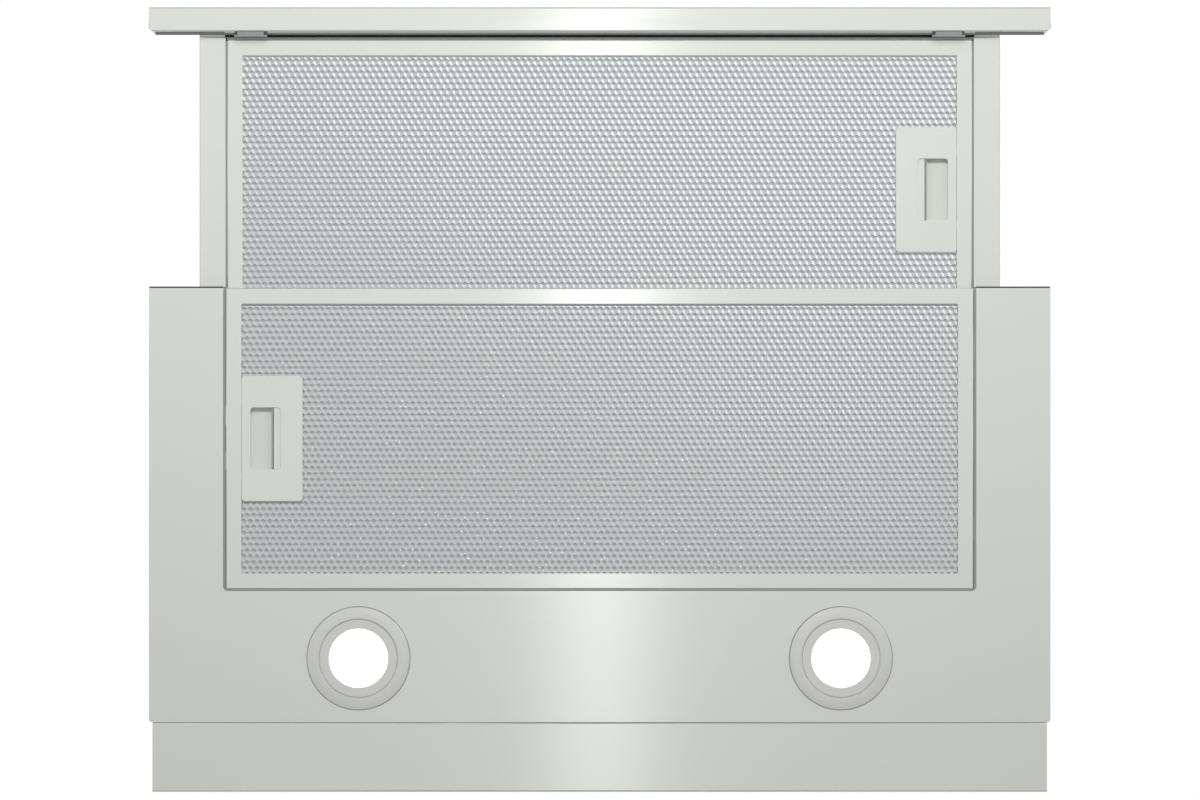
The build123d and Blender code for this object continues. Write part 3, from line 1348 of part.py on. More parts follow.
def main():
    os.makedirs("parts", exist_ok=True)
    write("bottom_panel", bottom_panel())
    write("ledge_frame", ledge_frame())
    write("rear_filler_strip", filler_strip())
    write("upper_housing", upper_housing())
    write("top_cover", top_cover())
    cover_screws = [screw(x, y, UPPER_HEIGHT, (0, 0, 1)) for x, y in cover_screw_points()]
    spigot_level = UPPER_HEIGHT + SPIGOT_FLANGE_THICK
    collar_screws = [screw(x, y, spigot_level, (0, 0, 1)) for x, y in spigot_screws()]
    strip_screws = [screw(x, y, z, (0, 1, 0)) for x, y, z in FILLER_SCREWS]
    write("housing_screws", *cover_screws, *collar_screws, *strip_screws)

    for name, part in (
        ("tray_rail", tray_rail()),
        ("inner_slide", inner_slide()),
        ("outer_slide", outer_slide()),
        ("ball_cage", Compound(ball_cage())),
    ):
        write("right_" + name, part)
        write("left_" + name, mirror(part, Plane.YZ))
    write("tray_front_wall", tray_front_wall())
    write("tray_top_panel", tray_top_panel())
    write("tray_bumpers", mirrored_pair(tray_bumper()))
    write("fascia", fascia())
    write("fascia_end_caps", mirrored_pair(fascia_end_cap()))
    write("fascia_clips", mirrored_pair(fascia_clip()))

    for name, part in (
        ("filter_frame", filter_frame()),
        ("filter_mesh", mesh_sheet()),
        ("filter_layers", filter_layers()),
        ("latch_plate", latch_plate()),
        ("latch_slider", latch_slider()),
        ("latch_spring", latch_spring()),
    ):
        write("front_" + name, place_front(part))
        write("rear_" + name, place_rear(part))

    for side, x in (("left", -LAMP_X), ("right", LAMP_X)):
        write(side + "_lamp_bezel", lamp_bezel(x))
        write(side + "_lamp_lens", lamp_lens(x))
        write(side + "_lamp_housing", lamp_housing(x))
    write("lamp_boards", lamp_board(-LAMP_X), lamp_board(LAMP_X))
    write("lamp_clips", *[lamp_clip(x, side) for x in (-LAMP_X, LAMP_X) for side in (-1, 1)])

    write("blower_left_shell", scroll_half(-1))
    write("blower_right_shell", scroll_half(1))
    write("impeller", impeller())
    write("motor_shaft", motor_shaft())
    write("motor_stator", motor_stack())
    bells = [end_bell(MOTOR_START + END_BELL, -1), end_bell(MOTOR_START + END_BELL + STACK_LENGTH, 1)]
    write("motor_end_bells", *bells)
    write("motor_bracket", motor_bracket())
    write("motor_grommets", *[motor_grommet(a) for a in bracket_angles()])

    write("duct_spigot", spigot())
    write("flap_rod", flap_rod())
    write("front_flap", flap(-1))
    write("rear_flap", flap(1))

    write("left_cheek", mirror(cheek(), Plane.YZ))
    write("switch_cheek", switch_cheek())
    write("speed_slider", switch_slider(SPEED_X, SPEED_TRAVEL))
    write("light_slider", switch_slider(LIGHT_X, LIGHT_TRAVEL))

    write("control_box", control_box())
    write("control_box_lid", control_box_lid())
    write("capacitor", capacitor())
    write("cable_gland", cable_gland())


main()
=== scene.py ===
import json
import math

import bmesh
import bpy
import numpy as np
from mathutils import Matrix, Vector


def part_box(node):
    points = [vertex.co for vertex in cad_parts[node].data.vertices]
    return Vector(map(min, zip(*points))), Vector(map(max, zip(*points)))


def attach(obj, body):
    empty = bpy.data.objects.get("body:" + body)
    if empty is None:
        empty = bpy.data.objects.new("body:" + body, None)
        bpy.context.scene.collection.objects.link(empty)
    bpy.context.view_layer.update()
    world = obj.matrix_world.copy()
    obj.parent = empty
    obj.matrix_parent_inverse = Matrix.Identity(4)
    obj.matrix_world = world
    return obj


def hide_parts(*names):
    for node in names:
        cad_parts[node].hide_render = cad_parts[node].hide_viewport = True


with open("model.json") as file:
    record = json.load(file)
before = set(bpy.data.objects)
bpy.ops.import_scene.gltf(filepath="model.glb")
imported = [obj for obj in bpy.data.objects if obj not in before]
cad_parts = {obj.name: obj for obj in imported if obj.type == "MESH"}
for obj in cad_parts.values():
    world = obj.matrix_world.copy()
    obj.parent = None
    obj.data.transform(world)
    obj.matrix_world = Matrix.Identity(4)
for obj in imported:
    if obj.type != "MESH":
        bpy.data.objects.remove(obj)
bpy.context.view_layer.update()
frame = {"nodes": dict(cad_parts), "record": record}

MM = 0.001

# Camera: straight below the hood, with the front of the hood at the top of the picture
PHOTO_WIDTH_PX = 1200
PHOTO_HEIGHT_PX = 800
MM_PER_PX = 0.66334
PANEL_CENTRE_PX = (599.7, 288.0)
PANEL_FRONT_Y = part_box("bottom_panel")[0][1]
PANEL_LOW_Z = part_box("bottom_panel")[0][2]
CAMERA_DISTANCE = 3.0
SENSOR = 36.0
CLIP_END = 1000.0

# Studio: the bright streak and its halo, as sideways slope and radiance, and the floor
STREAK_SLOPE = 0.0176
STREAK_RADIANCE = 1.25
HALO_SLOPE = 0.13
HALO_RADIANCE = 0.055
KEY_SPREAD = math.radians(55)
FLOOR_HALF = 250.0
FLOOR_LEVEL = -6.0

# Expanded sheet of the grease filters: strands run along X and swing to meet their neighbours
CELL_WIDTH = 4.31 * MM
ROW_PITCH = 3.91 * MM
STRAND_SWING = 0.62 * MM
STRAND_PLAN = 2.75 * MM
STRAND_THICKNESS = 0.20 * MM
STRAND_TILT = math.radians(13)
KNUCKLE_SHARE = 0.15
SHEET_HEIGHT = 1.15 * MM
UPPER_SHEET_HEIGHT = 8.62 * MM
UPPER_STRAND_TILT = math.radians(4)
FRAME_BORDER = 10.4 * MM
EDGE_COVER = 0.6 * MM

# Dark grey strips in the gaps round the filters: painted shade of the gaps
GAP_SHADE_WIDTH = 0.9 * MM
OPENING_SHADE_WIDTH = 1.02 * MM
GAP_SHADE_DEPTH = 0.15 * MM
GAP_SHADE_HEIGHT = 0.5 * MM
TRAY_SHADE_END = 1.0 * MM
REAR_SHADE_END = 0.3 * MM
SHADE_TURN_GAP = 0.5 * MM
SHADE_STEPS = 9
OPENING_X = 249.75 * MM
OPENING_REAR = 57.0 * MM
OPENING_CORNER = 3.0 * MM
TRAY_INNER_X = 249.0 * MM

# Lamps
RING_R = 34.1 * MM
STEP_R = 26.4 * MM
LENS_R = 19.4 * MM
RING_PROUD = 1.6 * MM
RING_DISH = 0.4 * MM
GROOVE = 0.85 * MM
GROOVE_DEPTH = 1.1 * MM
BORE_GAP = 0.1 * MM
BORE_CHAMFER = 0.2 * MM
STEP_CHAMFER = 0.1 * MM
RING_EDGE_R = 0.5 * MM
FLANGE = 2.0 * MM
SPIGOT = 2.3 * MM
SPIGOT_HEIGHT = 2.0 * MM
# painted shadow: the thin dark ring round each bezel's rim, where it meets the panel
LAMP_SHADE_OUT = 0.42 * MM
LAMP_SHADE_IN = 1.0 * MM
LAMP_SHADE_LEVELS = (-0.02 * MM, -0.22 * MM)
LENS_SUNK = 0.7 * MM
LENS_CROWN = 0.35 * MM
LENS_EDGE = 0.25 * MM
LENS_THICKNESS = 2.0 * MM
LAMP_SIDES = 128
LENS_STEPS = (0.0, 0.25, 0.5, 0.7, 0.85, 0.95, 0.985, 1.0)

# Latch recess: its rolled edge, the slider's lip and the dark strip of painted shadow along it
CUP_INSET = 5.3 * MM
CUP_WIDTH = 20.6 * MM
CUP_DEPTH = 41.9 * MM
CUP_CORNER = 2.5 * MM
RIM_R = 0.45 * MM
LIP_END_GAP = 0.1 * MM
LIP_THICKNESS = 0.5 * MM
LIP_EDGE_NEAR = 4.2 * MM
LIP_SHADOW_NEAR = 5.0 * MM
LIP_SHADOW_WIDTH = 0.95 * MM
LIP_STRIP_HEIGHT = 0.75 * MM

# Trims between the fascia and the front filter, and at the front edges of the mesh; the dark strips among
# them are painted shadow
BEVEL_RUN = 2.3 * MM
BEVEL_RISE = 4.0 * MM
SHADOW_STRIP_WIDTH = 0.9 * MM
END_SHADOW_STRIP_WIDTH = 1.8 * MM
SHADOW_STRIP_REACH = 294.8 * MM
SHADOW_STRIP_NEAR = 0.02 * MM
SHADOW_STRIP_FAR = 0.12 * MM
NOSE_DEPTH = 1.3 * MM
NOSE_DROP = 4.2 * MM
NOSE_SIDE_GAP = 0.1 * MM
NOSE_OUTER_INSET = 0.4 * MM
NOSE_TIP = 0.1 * MM
FASCIA_GAP = 0.05 * MM
EDGE_ROLL_R = 1.9 * MM
MESH_SHADOW_WIDTH = 0.9 * MM
MESH_SHADOW_LEVELS = (0.42 * MM, 0.58 * MM)
TOUCH_GAP = 0.02 * MM

# Hexagon washer screws, and the switches' ribs and numerals
SCREW_HEAD = 2.2 * MM
SCREW_LENGTH = 7.0 * MM
THREAD_PITCH = 0.9 * MM
THREAD_MARGIN = 2.2 * MM
THREAD_START = 1.4 * MM
THREAD_ROOT_R = 1.45 * MM
THREAD_R = 1.95 * MM
TIP_R = 0.5 * MM
TIP_CHAMFER = 0.1 * MM
NECK_R = 1.6 * MM
NECK_HEIGHT = 0.3 * MM
WASHER_R = 3.75 * MM
WASHER_CROWN_R = 3.1 * MM
WASHER_EDGE = 0.35 * MM
WASHER_HEIGHT = 0.8 * MM
HEX_R = 3.3 * MM
HEX_FOOT = 0.6 * MM
HEX_CHAMFER = 0.35 * MM
DISH_R = 2.1 * MM
DISH_FLOOR_R = 1.8 * MM
SCREW_SIDES = 18
RIB_PITCH = 2.0 * MM
RIB_HALF = 2.8 * MM
RIB_PROUD = 0.3 * MM
RIB_SINK = 0.1 * MM
RIB_FOOT_HALF = 0.45 * MM
RIB_TOP_HALF = 0.22 * MM
SPEED_PITCH = 4.0 * MM
NUMERAL_SIZE = 3.2 * MM
NUMERAL_PROUD = 0.05 * MM
SPEED_NUMERAL_X = 295.75 * MM
SPEED_NUMERAL_Z = -26.5 * MM
LIGHT_NUMERAL_Z = (-35.4 * MM, -5.8 * MM)


class Value:
    """One output socket of a finish, with the arithmetic that the finishes use."""

    def __init__(self, finish, socket):
        self.finish = finish
        self.socket = socket

    def maths(self, operation, first, second=0.0):
        return self.finish.add("ShaderNodeMath", {"operation": operation}, {0: first, 1: second})

    def __add__(self, other):
        return self.maths("ADD", self, other)

    def __sub__(self, other):
        return self.maths("SUBTRACT", self, other)

    def __rsub__(self, other):
        return self.maths("SUBTRACT", other, self)

    def __mul__(self, other):
        return self.maths("MULTIPLY", self, other)

    def __truediv__(self, other):
        return self.maths("DIVIDE", self, other)

    def __lt__(self, other):
        return self.maths("LESS_THAN", self, other)

    def __abs__(self):
        return self.maths("ABSOLUTE", self)

    __radd__ = __add__


class Finish:
    """A material, or the world, whose nodes come from one method."""

    def __init__(self, name, owner=None):
        self.material = owner or bpy.data.materials.new(name)
        self.material.use_nodes = True
        self.tree = self.material.node_tree
        self.tree.nodes.clear()
        self.place = 0

    def add(self, kind, settings=None, sockets=None, output=0):
        """Adds a node, sets its settings, then its sockets, and gives one of its outputs."""
        node = self.tree.nodes.new(kind)
        self.place += 1
        node.location = (220 * (self.place % 12), -260 * (self.place // 12))
        for key, value in (settings or {}).items():
            if key == "stops":
                while len(node.color_ramp.elements) < len(value):
                    node.color_ramp.elements.new(1.0)
                for element, (at, colour) in zip(node.color_ramp.elements, value):
                    element.position = at
                    element.color = (*colour, 1.0)
            else:
                setattr(node, key, value)
        for key, value in (sockets or {}).items():
            if isinstance(value, Value):
                self.tree.links.new(value.socket, node.inputs[key])
            else:
                node.inputs[key].default_value = value
        if not node.outputs:
            return None
        return Value(self, node.outputs[output])

    def place_on(self, scale):
        """Object coordinates in metres, stretched."""
        here = self.add("ShaderNodeTexCoord", output="Object")
        return self.add("ShaderNodeMapping", {}, {"Vector": here, "Scale": scale})

    def noise(self, scale, detail):
        """A value from 0 to 1 that wanders over a length of about 1 / scale along each axis."""
        return self.add("ShaderNodeTexNoise", {}, {"Vector": self.place_on(scale), "Scale": 1.0,
                                                   "Detail": detail, "Roughness": 0.55})

    def blend(self, share, first, second):
        """A colour between two colours."""
        sockets = {0: share, 6: (*first, 1.0), 7: (*second, 1.0)}
        return self.add("ShaderNodeMix", {"data_type": "RGBA"}, sockets, output=2)

    def ramp(self, value, stops):
        """A grey between 0 and 1 that follows (place, grey) stops, as a number."""
        stops = [(at, (grey,) * 3) for at, grey in stops]
        colour = self.add("ShaderNodeValToRGB", {"stops": stops}, {"Fac": value})
        return self.add("ShaderNodeSeparateColor", {}, {"Color": colour})

    def relief(self, height, depth):
        """A normal tipped by a height from 0 to 1, whose full step is depth metres."""
        return self.add("ShaderNodeBump", {}, {"Height": height, "Distance": depth, "Strength": 1.0})

    def shade(self, **sockets):
        """The surface itself, from the sockets of one principled shader."""
        named = {key.replace("_", " "): value for key, value in sockets.items()}
        body = self.add("ShaderNodeBsdfPrincipled", {}, named)
        self.add("ShaderNodeOutputMaterial", {}, {"Surface": body})
        return self.material


def brushed(name, tone, roughness, lines=0.02, metallic=0.7):
    """Sheet with its grain along X: fine scratches and a few broader pale bands."""
    finish = Finish(name)
    fine = finish.noise((14.0, 2600.0, 2600.0), 3.0)
    broad = finish.noise((3.0, 160.0, 160.0), 2.0)
    cloud = finish.noise((6.0, 6.0, 6.0), 2.0)
    grain = fine * 0.6 + broad * 0.4
    dark = tuple(c * (1 - lines) for c in tone)
    light = tuple(c * (1 + lines) for c in tone)
    colour = finish.blend(grain, dark, light)
    gloss = roughness * 0.8 + (grain * 0.7 + cloud * 0.3) * (roughness * 0.4)
    return finish.shade(Base_Color=colour, Metallic=metallic, Roughness=gloss,
                        Normal=finish.relief(grain, 0.000002))


def spangled(name, tone):
    """Galvanised sheet: crystals about 9 mm across, each with its own grey and gloss."""
    finish = Finish(name)
    wander = finish.noise((60.0, 60.0, 60.0), 1.0)
    crystal = finish.add("ShaderNodeTexVoronoi", {}, {"Vector": finish.place_on((1.0, 1.0, 1.0)),
                                                     "Scale": 115.0, "Randomness": 1.0}, output="Color")
    grey = finish.add("ShaderNodeSeparateColor", {}, {"Color": crystal})
    fern = finish.noise((900.0, 300.0, 600.0), 2.0)
    share = grey * 0.7 + fern * 0.2 + wander * 0.1
    colour = finish.blend(share, tuple(c * 0.86 for c in tone), tuple(c * 1.1 for c in tone))
    return finish.shade(Base_Color=colour, Metallic=0.85, Roughness=0.36 + share * 0.2,
                        Normal=finish.relief(fern, 0.00001))


def plated(name, tone, roughness, metallic=1.0):
    """Bright plated or rolled steel with faint waviness and fine scratches."""
    finish = Finish(name)
    wave = finish.noise((220.0, 220.0, 220.0), 2.0)
    scratch = finish.noise((2200.0, 90.0, 2200.0), 2.0)
    colour = finish.blend(wave, tuple(c * 0.93 for c in tone), tone)
    return finish.shade(Base_Color=colour, Metallic=metallic, Roughness=roughness + scratch * 0.1,
                        Normal=finish.relief(wave, 0.00003))


def moulded(name, tone, roughness, grain=0.00004, coat=0.0):
    """Moulded plastic: fine spark-eroded grain, with a slow drift of tone."""
    finish = Finish(name)
    fine = finish.noise((1800.0, 1800.0, 1800.0), 3.0)
    cloud = finish.noise((24.0, 24.0, 24.0), 2.0)
    colour = finish.blend(cloud, tuple(c * 0.95 for c in tone), tuple(c * 1.04 for c in tone))
    return finish.shade(Base_Color=colour, Roughness=roughness + fine * 0.12 + cloud * 0.05, Coat_Weight=coat,
                        Normal=finish.relief(fine, grain))


def cast(name, tone):
    """Die-cast alloy: sandy skin with darker hollows."""
    finish = Finish(name)
    sand = finish.noise((1400.0, 1400.0, 1400.0), 4.0)
    cloud = finish.noise((60.0, 60.0, 60.0), 3.0)
    skin = sand * 0.5 + cloud * 0.5
    colour = finish.blend(skin, tuple(c * 0.8 for c in tone), tuple(c * 1.08 for c in tone))
    return finish.shade(Base_Color=colour, Metallic=1.0, Roughness=0.42 + sand * 0.16,
                        Normal=finish.relief(sand, 0.00008))


def laminated(name, tone):
    """A stack of varnished steel sheets, half a millimetre each, lying across the shaft."""
    finish = Finish(name)
    sheets = finish.add("ShaderNodeTexWave", {"bands_direction": "X"},
                        {"Vector": finish.place_on((1.0, 1.0, 1.0)), "Scale": 320.0, "Distortion": 0.4})
    cloud = finish.noise((90.0, 90.0, 90.0), 3.0)
    colour = finish.blend(cloud, tuple(c * 0.7 for c in tone), tuple(c * 1.2 for c in tone))
    return finish.shade(Base_Color=colour, Metallic=0.7, Roughness=0.38 + cloud * 0.15,
                        Normal=finish.relief(sheets, 0.0001))


def opal(name):
    """The lit opal lens: even white, with a slightly softer rim."""
    finish = Finish(name)
    cloud = finish.noise((40.0, 40.0, 40.0), 1.0)
    glow = finish.blend(cloud, (1.0, 1.0, 0.995), (1.0, 1.0, 1.0))
    return finish.shade(Base_Color=glow, Roughness=0.35 + cloud * 0.05, Emission_Color=glow,
                        Emission_Strength=1.3)


def woven_layers(name, tone):
    """The finer expanded layers seen through the outer sheet: a close, even lattice of pale strands."""
    finish = Finish(name)
    across = 1.0 / (CELL_WIDTH / 2)
    along = 1.0 / (ROW_PITCH / 2)
    waves = []
    for turn in (1.0, -1.0):
        here = finish.place_on((across, along * turn, 1.0))
        sum_of = finish.add("ShaderNodeVectorMath", {"operation": "DOT_PRODUCT"},
                            {0: here, 1: (1.0, 1.0, 0.0)}, output=1)
        waves.append(finish.add("ShaderNodeMath", {"operation": "PINGPONG"}, {0: sum_of, 1: 0.5}) * 2.0)
    strands = finish.add("ShaderNodeMath", {"operation": "MAXIMUM"}, {0: waves[0], 1: waves[1]})
    cloud = finish.noise((180.0, 180.0, 180.0), 2.0)
    share = strands * 0.9 + cloud * 0.1
    colour = finish.blend(share, tuple(c * 0.6 for c in tone), tone)
    return finish.shade(Base_Color=colour, Metallic=0.4, Roughness=0.4 + cloud * 0.1,
                        Normal=finish.relief(strands, 0.0003))


def board(name):
    """White solder mask with a faint mottling."""
    finish = Finish(name)
    fine = finish.noise((500.0, 500.0, 500.0), 2.0)
    colour = finish.blend(fine, (0.80, 0.80, 0.77), (0.90, 0.90, 0.88))
    return finish.shade(Base_Color=colour, Roughness=0.35 + fine * 0.1, Normal=finish.relief(fine, 0.00002))


FINISHES = {
    "stainless": brushed("stainless", (0.80, 0.815, 0.775), 0.075),
    "galvanised": spangled("galvanised", (0.58, 0.60, 0.615)),
    "zinc": plated("zinc", (0.78, 0.79, 0.81), 0.22),
    "slide_steel": plated("slide_steel", (0.56, 0.57, 0.58), 0.24),
    "filter_aluminium": brushed("filter_aluminium", (0.81, 0.825, 0.785), 0.075, 0.012),
    "filter_mesh": plated("filter_mesh", (0.80, 0.825, 0.83), 0.12, 0.85),
    "filter_layers": woven_layers("filter_layers", (0.74, 0.765, 0.77)),
    "latch_grey": moulded("latch_grey", (0.725, 0.742, 0.70), 0.42, 0.000008),
    "lamp_ring": brushed("lamp_ring", (0.705, 0.715, 0.69), 0.22, 0.01, 0.5),
    "lamp_lens": opal("lamp_lens"),
    "lamp_body": cast("lamp_body", (0.55, 0.56, 0.57)),
    "light_board": board("light_board"),
    "blower_plastic": moulded("blower_plastic", (0.030, 0.031, 0.034), 0.42),
    "wheel_plastic": moulded("wheel_plastic", (0.50, 0.50, 0.48), 0.40),
    "motor_steel": laminated("motor_steel", (0.06, 0.062, 0.066)),
    "rubber": moulded("rubber", (0.012, 0.012, 0.013), 0.62, 0.00006),
    # painted shade: the grey of the strips that stand for shade in the filter gaps, round the lamp rims and
    # on the rear mesh
    "painted_shade_grey": moulded("painted_shade_grey", (0.31, 0.315, 0.305), 0.60, 0.00003),
    # painted shadow: the grey of the strip beside each slider's lip
    "lip_shadow_grey": moulded("lip_shadow_grey", (0.40, 0.405, 0.40), 0.50, 0.00003),
    # painted shadow: the grey of the strip along the fascia's rear edge
    "fascia_shadow_grey": moulded("fascia_shadow_grey", (0.24, 0.242, 0.24), 0.60, 0.00003),
    # painted shadow: the paler grey of the front filter's mesh shadow strips
    "mesh_shadow_grey": moulded("mesh_shadow_grey", (0.50, 0.505, 0.50), 0.50, 0.00003),
    "rolled_aluminium": brushed("rolled_aluminium", (0.76, 0.77, 0.74), 0.40, 0.012, 0.1),
    # painted shade: a dull dark steel for the tray's front wall, so that the gap behind the fascia reads as
    # shade
    "gap_shade_steel": plated("gap_shade_steel", (0.45, 0.45, 0.45), 0.45, 0.2),
    "clip_zinc": plated("clip_zinc", (0.44, 0.445, 0.455), 0.28),
    "black_plastic": moulded("black_plastic", (0.050, 0.051, 0.053), 0.40),
    "knob_plastic": moulded("knob_plastic", (0.19, 0.19, 0.185), 0.36),
    "box_plastic": moulded("box_plastic", (0.62, 0.62, 0.57), 0.42),
    "capacitor_can": plated("capacitor_can", (0.72, 0.73, 0.74), 0.28),
    "marking": moulded("marking", (0.75, 0.75, 0.73), 0.50, 0.00001),
}
SLOT_OF = {part["node"]: part["material_slot"] for part in frame["record"]["subparts"]}
BODY_OF = {node: body for body, nodes in frame["record"]["behaviour"]["bodies"].items() for node in nodes}

# Nodes whose finish isn't the one of their slot
# painted shade: the tray's front wall is darkened to stand for the shade in the gap behind the fascia
OWN_FINISH = {"front_filter_layers": "filter_layers", "rear_filter_layers": "filter_layers",
              "tray_front_wall": "gap_shade_steel", "fascia_clips": "clip_zinc"}

# Pieces whose bends and rounds are smoothed, with the angle in degrees above which an edge stays sharp
SMOOTHED = {
    "duct_spigot": 30, "cable_gland": 25, "blower_left_shell": 25, "blower_right_shell": 25,
    "motor_shaft": 30, "motor_stator": 30, "motor_end_bells": 30, "capacitor": 30, "flap_rod": 30,
    "left_lamp_housing": 30, "right_lamp_housing": 30, "top_cover": 25, "ledge_frame": 25,
    "bottom_panel": 25, "upper_housing": 25, "fascia": 30, "motor_bracket": 25, "lamp_boards": 30,
    "control_box": 25, "tray_top_panel": 30, "rear_filler_strip": 30, "front_filter_frame": 30,
    "rear_filter_frame": 30, "left_tray_rail": 30, "right_tray_rail": 30, "lamp_clips": 30,
    "left_ball_cage": 40, "right_ball_cage": 40, "motor_grommets": 30, "front_flap": 30,
    "rear_flap": 30, "left_outer_slide": 30, "right_outer_slide": 30, "left_inner_slide": 30,
    "right_inner_slide": 30, "control_box_lid": 30,
}

# Smoothed pieces whose edges are rounded too, with the width of the rounding
ROUNDED_EDGES = {"bottom_panel": 0.35 * MM}
ROUNDED_ABOVE = math.radians(50)

# Points of a carried-over mesh nearer than this are one point, and shorter edges are dropped
MERGE_DISTANCE = 0.001 * MM
SLIVER_LENGTH = 0.0005 * MM
NUMERAL_MERGE = 0.0001 * MM


def finish_of(node):
    """A carried-over node's own finish, or else its slot's."""
    return FINISHES[OWN_FINISH.get(node, SLOT_OF[node])]


def dress_nodes():
    """Every carried-over node gets the finish of its slot."""
    for name, node in frame["nodes"].items():
        node.data.materials.clear()
        node.data.materials.append(finish_of(name))


def show(mesh, name, body, slot, finish=None, replaced=()):
    """Puts a finished mesh on its body, in its slot, and hides the nodes that it stands for."""
    mesh.materials.clear()
    mesh.materials.append(finish or FINISHES[slot])
    piece = bpy.data.objects.new(name, mesh)
    bpy.context.scene.collection.objects.link(piece)
    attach(piece, body)
    if replaced:
        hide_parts(*replaced)
    return piece


def weigh_normals(piece):
    """Large flats keep their own normal, so that only the narrow facets of a bend are blended."""
    normals = piece.modifiers.new("normals", "WEIGHTED_NORMAL")
    normals.mode = "FACE_AREA"
    normals.weight = 100
    normals.keep_sharp = True


def merged_copy(name):
    """A copy of a node's mesh, its doubled points made one."""
    mesh = frame["nodes"][name].data.copy()
    work = bmesh.new()
    work.from_mesh(mesh)
    bmesh.ops.remove_doubles(work, verts=work.verts, dist=MERGE_DISTANCE)
    bmesh.ops.dissolve_degenerate(work, edges=work.edges, dist=SLIVER_LENGTH)
    work.to_mesh(mesh)
    work.free()
    return mesh


def smooth_nodes():
    """A merged copy of each round node stands for it, smooth except at its true edges."""
    for name, angle in SMOOTHED.items():
        mesh = merged_copy(name)
        mesh.polygons.foreach_set("use_smooth", np.full(len(mesh.polygons), True))
        mesh.set_sharp_from_angle(angle=math.radians(angle))
        piece = show(mesh, name + "_shape", BODY_OF[name], SLOT_OF[name], finish_of(name), (name,))
        if name in ROUNDED_EDGES:
            bevel = piece.modifiers.new("edges", "BEVEL")
            bevel.width = ROUNDED_EDGES[name]
            bevel.segments = 2
            bevel.limit_method = "ANGLE"
            bevel.angle_limit = ROUNDED_ABOVE
        weigh_normals(piece)


def make_piece(name, points, faces, body, slot, smooth=True, finish=None, replaced=()):
    """A new piece from an array of points in metres and arrays of corner numbers, its faces turned outwards.

    The side that faces outwards is told from the sign of the closed shape's volume, summed over the
    tetrahedra between its triangles and the middle of its points. Smooth is yes, no, or the angle in
    degrees above which an edge stays sharp.
    """
    points = np.asarray(points, dtype=float).reshape(-1, 3)
    points_from_middle = points - points.mean(axis=0)
    volume = 0.0
    for face in faces:
        corners = points_from_middle[np.asarray(face).reshape(-1, np.asarray(face).shape[-1])]
        for i in range(1, corners.shape[1] - 1):
            volume += np.einsum("ij,ij->", corners[:, 0], np.cross(corners[:, i], corners[:, i + 1]))
    listed = [list(map(int, corner)) for face in faces for corner in np.atleast_2d(face)]
    if volume < 0:
        listed = [corner[::-1] for corner in listed]
    mesh = bpy.data.meshes.new(name)
    mesh.from_pydata(points.tolist(), [], listed)
    mesh.polygons.foreach_set("use_smooth", np.full(len(mesh.polygons), bool(smooth)))
    if smooth and smooth is not True:
        mesh.set_sharp_from_angle(angle=math.radians(smooth))
    mesh.update()
    return show(mesh, name, body, slot, finish, replaced)


def grid_faces(rows, columns, close_rows=False, close_columns=False, first=0):
    """Quads of a grid of points stored row by row; its last row or column may join the first."""
    row, column = np.meshgrid(np.arange(rows if close_rows else rows - 1),
                              np.arange(columns if close_columns else columns - 1), indexing="ij")
    below = (row + 1) % rows
    after = (column + 1) % columns
    corners = np.stack([row * columns + column, row * columns + after,
                        below * columns + after, below * columns + column], axis=-1)
    return first + corners.reshape(-1, 4)


def turned(profile, centre, sides=96, axis=(0.0, 0.0, 1.0)):
    """A profile of (radius, height) turned about an axis through centre: points and faces.

    A profile that starts and ends on the axis is closed by its two poles. Any other profile is a ring
    whose last point joins its first.
    """
    profile = np.asarray(profile, dtype=float)
    solid = profile[0, 0] == 0.0 and profile[-1, 0] == 0.0
    ring = profile[1:-1] if solid else profile
    angle = np.linspace(0.0, 2 * math.pi, sides, endpoint=False)
    radius = ring[:, 0][:, None]
    local = np.stack([radius * np.cos(angle), radius * np.sin(angle),
                      np.broadcast_to(ring[:, 1][:, None], (len(ring), sides))], axis=-1).reshape(-1, 3)
    faces = [grid_faces(len(ring), sides, not solid, True)]
    if solid:
        poles = np.array([[0.0, 0.0, profile[0, 1]], [0.0, 0.0, profile[-1, 1]]])
        first, last = len(local), len(local) + 1
        local = np.concatenate([local, poles])
        here = np.arange(sides)
        after = (here + 1) % sides
        top = (len(ring) - 1) * sides
        faces.append(np.stack([np.full(sides, first), after, here], axis=-1))
        faces.append(np.stack([np.full(sides, last), top + here, top + after], axis=-1))
    turn = np.array(Vector((0.0, 0.0, 1.0)).rotation_difference(Vector(axis)).to_matrix())
    return local @ turn.T + np.asarray(centre), faces


def joined(parts):
    """Several (points, faces) made one, with their corner numbers carried on."""
    points, faces, count = [], [], 0
    for some, theirs in parts:
        some = np.asarray(some).reshape(-1, 3)
        points.append(some)
        faces += [np.asarray(face) + count for face in theirs]
        count += len(some)
    return np.concatenate(points), faces


def swept(path, section):
    """A closed section of (across, up) carried along a level path: points and faces, ends closed.

    Each ring lies square to the path, whose direction is the difference between the points beside it.
    """
    path = np.asarray(path, dtype=float)
    section = np.asarray(section, dtype=float)
    ahead = np.gradient(path[:, :2], axis=0)
    ahead /= np.linalg.norm(ahead, axis=1, keepdims=True)
    side = np.stack([-ahead[:, 1], ahead[:, 0]], axis=-1)
    across = section[:, 0][None, :, None]
    up = np.broadcast_to(section[:, 1], (len(path), len(section)))
    plan = path[:, None, :2] + side[:, None, :] * across
    points = np.concatenate([plan, (path[:, 2][:, None] + up)[..., None]], axis=-1)
    steps, around = len(path), len(section)
    ends = [np.arange(around)[None, ::-1], (steps - 1) * around + np.arange(around)[None]]
    return points.reshape(-1, 3), [grid_faces(steps, around, False, True)] + ends


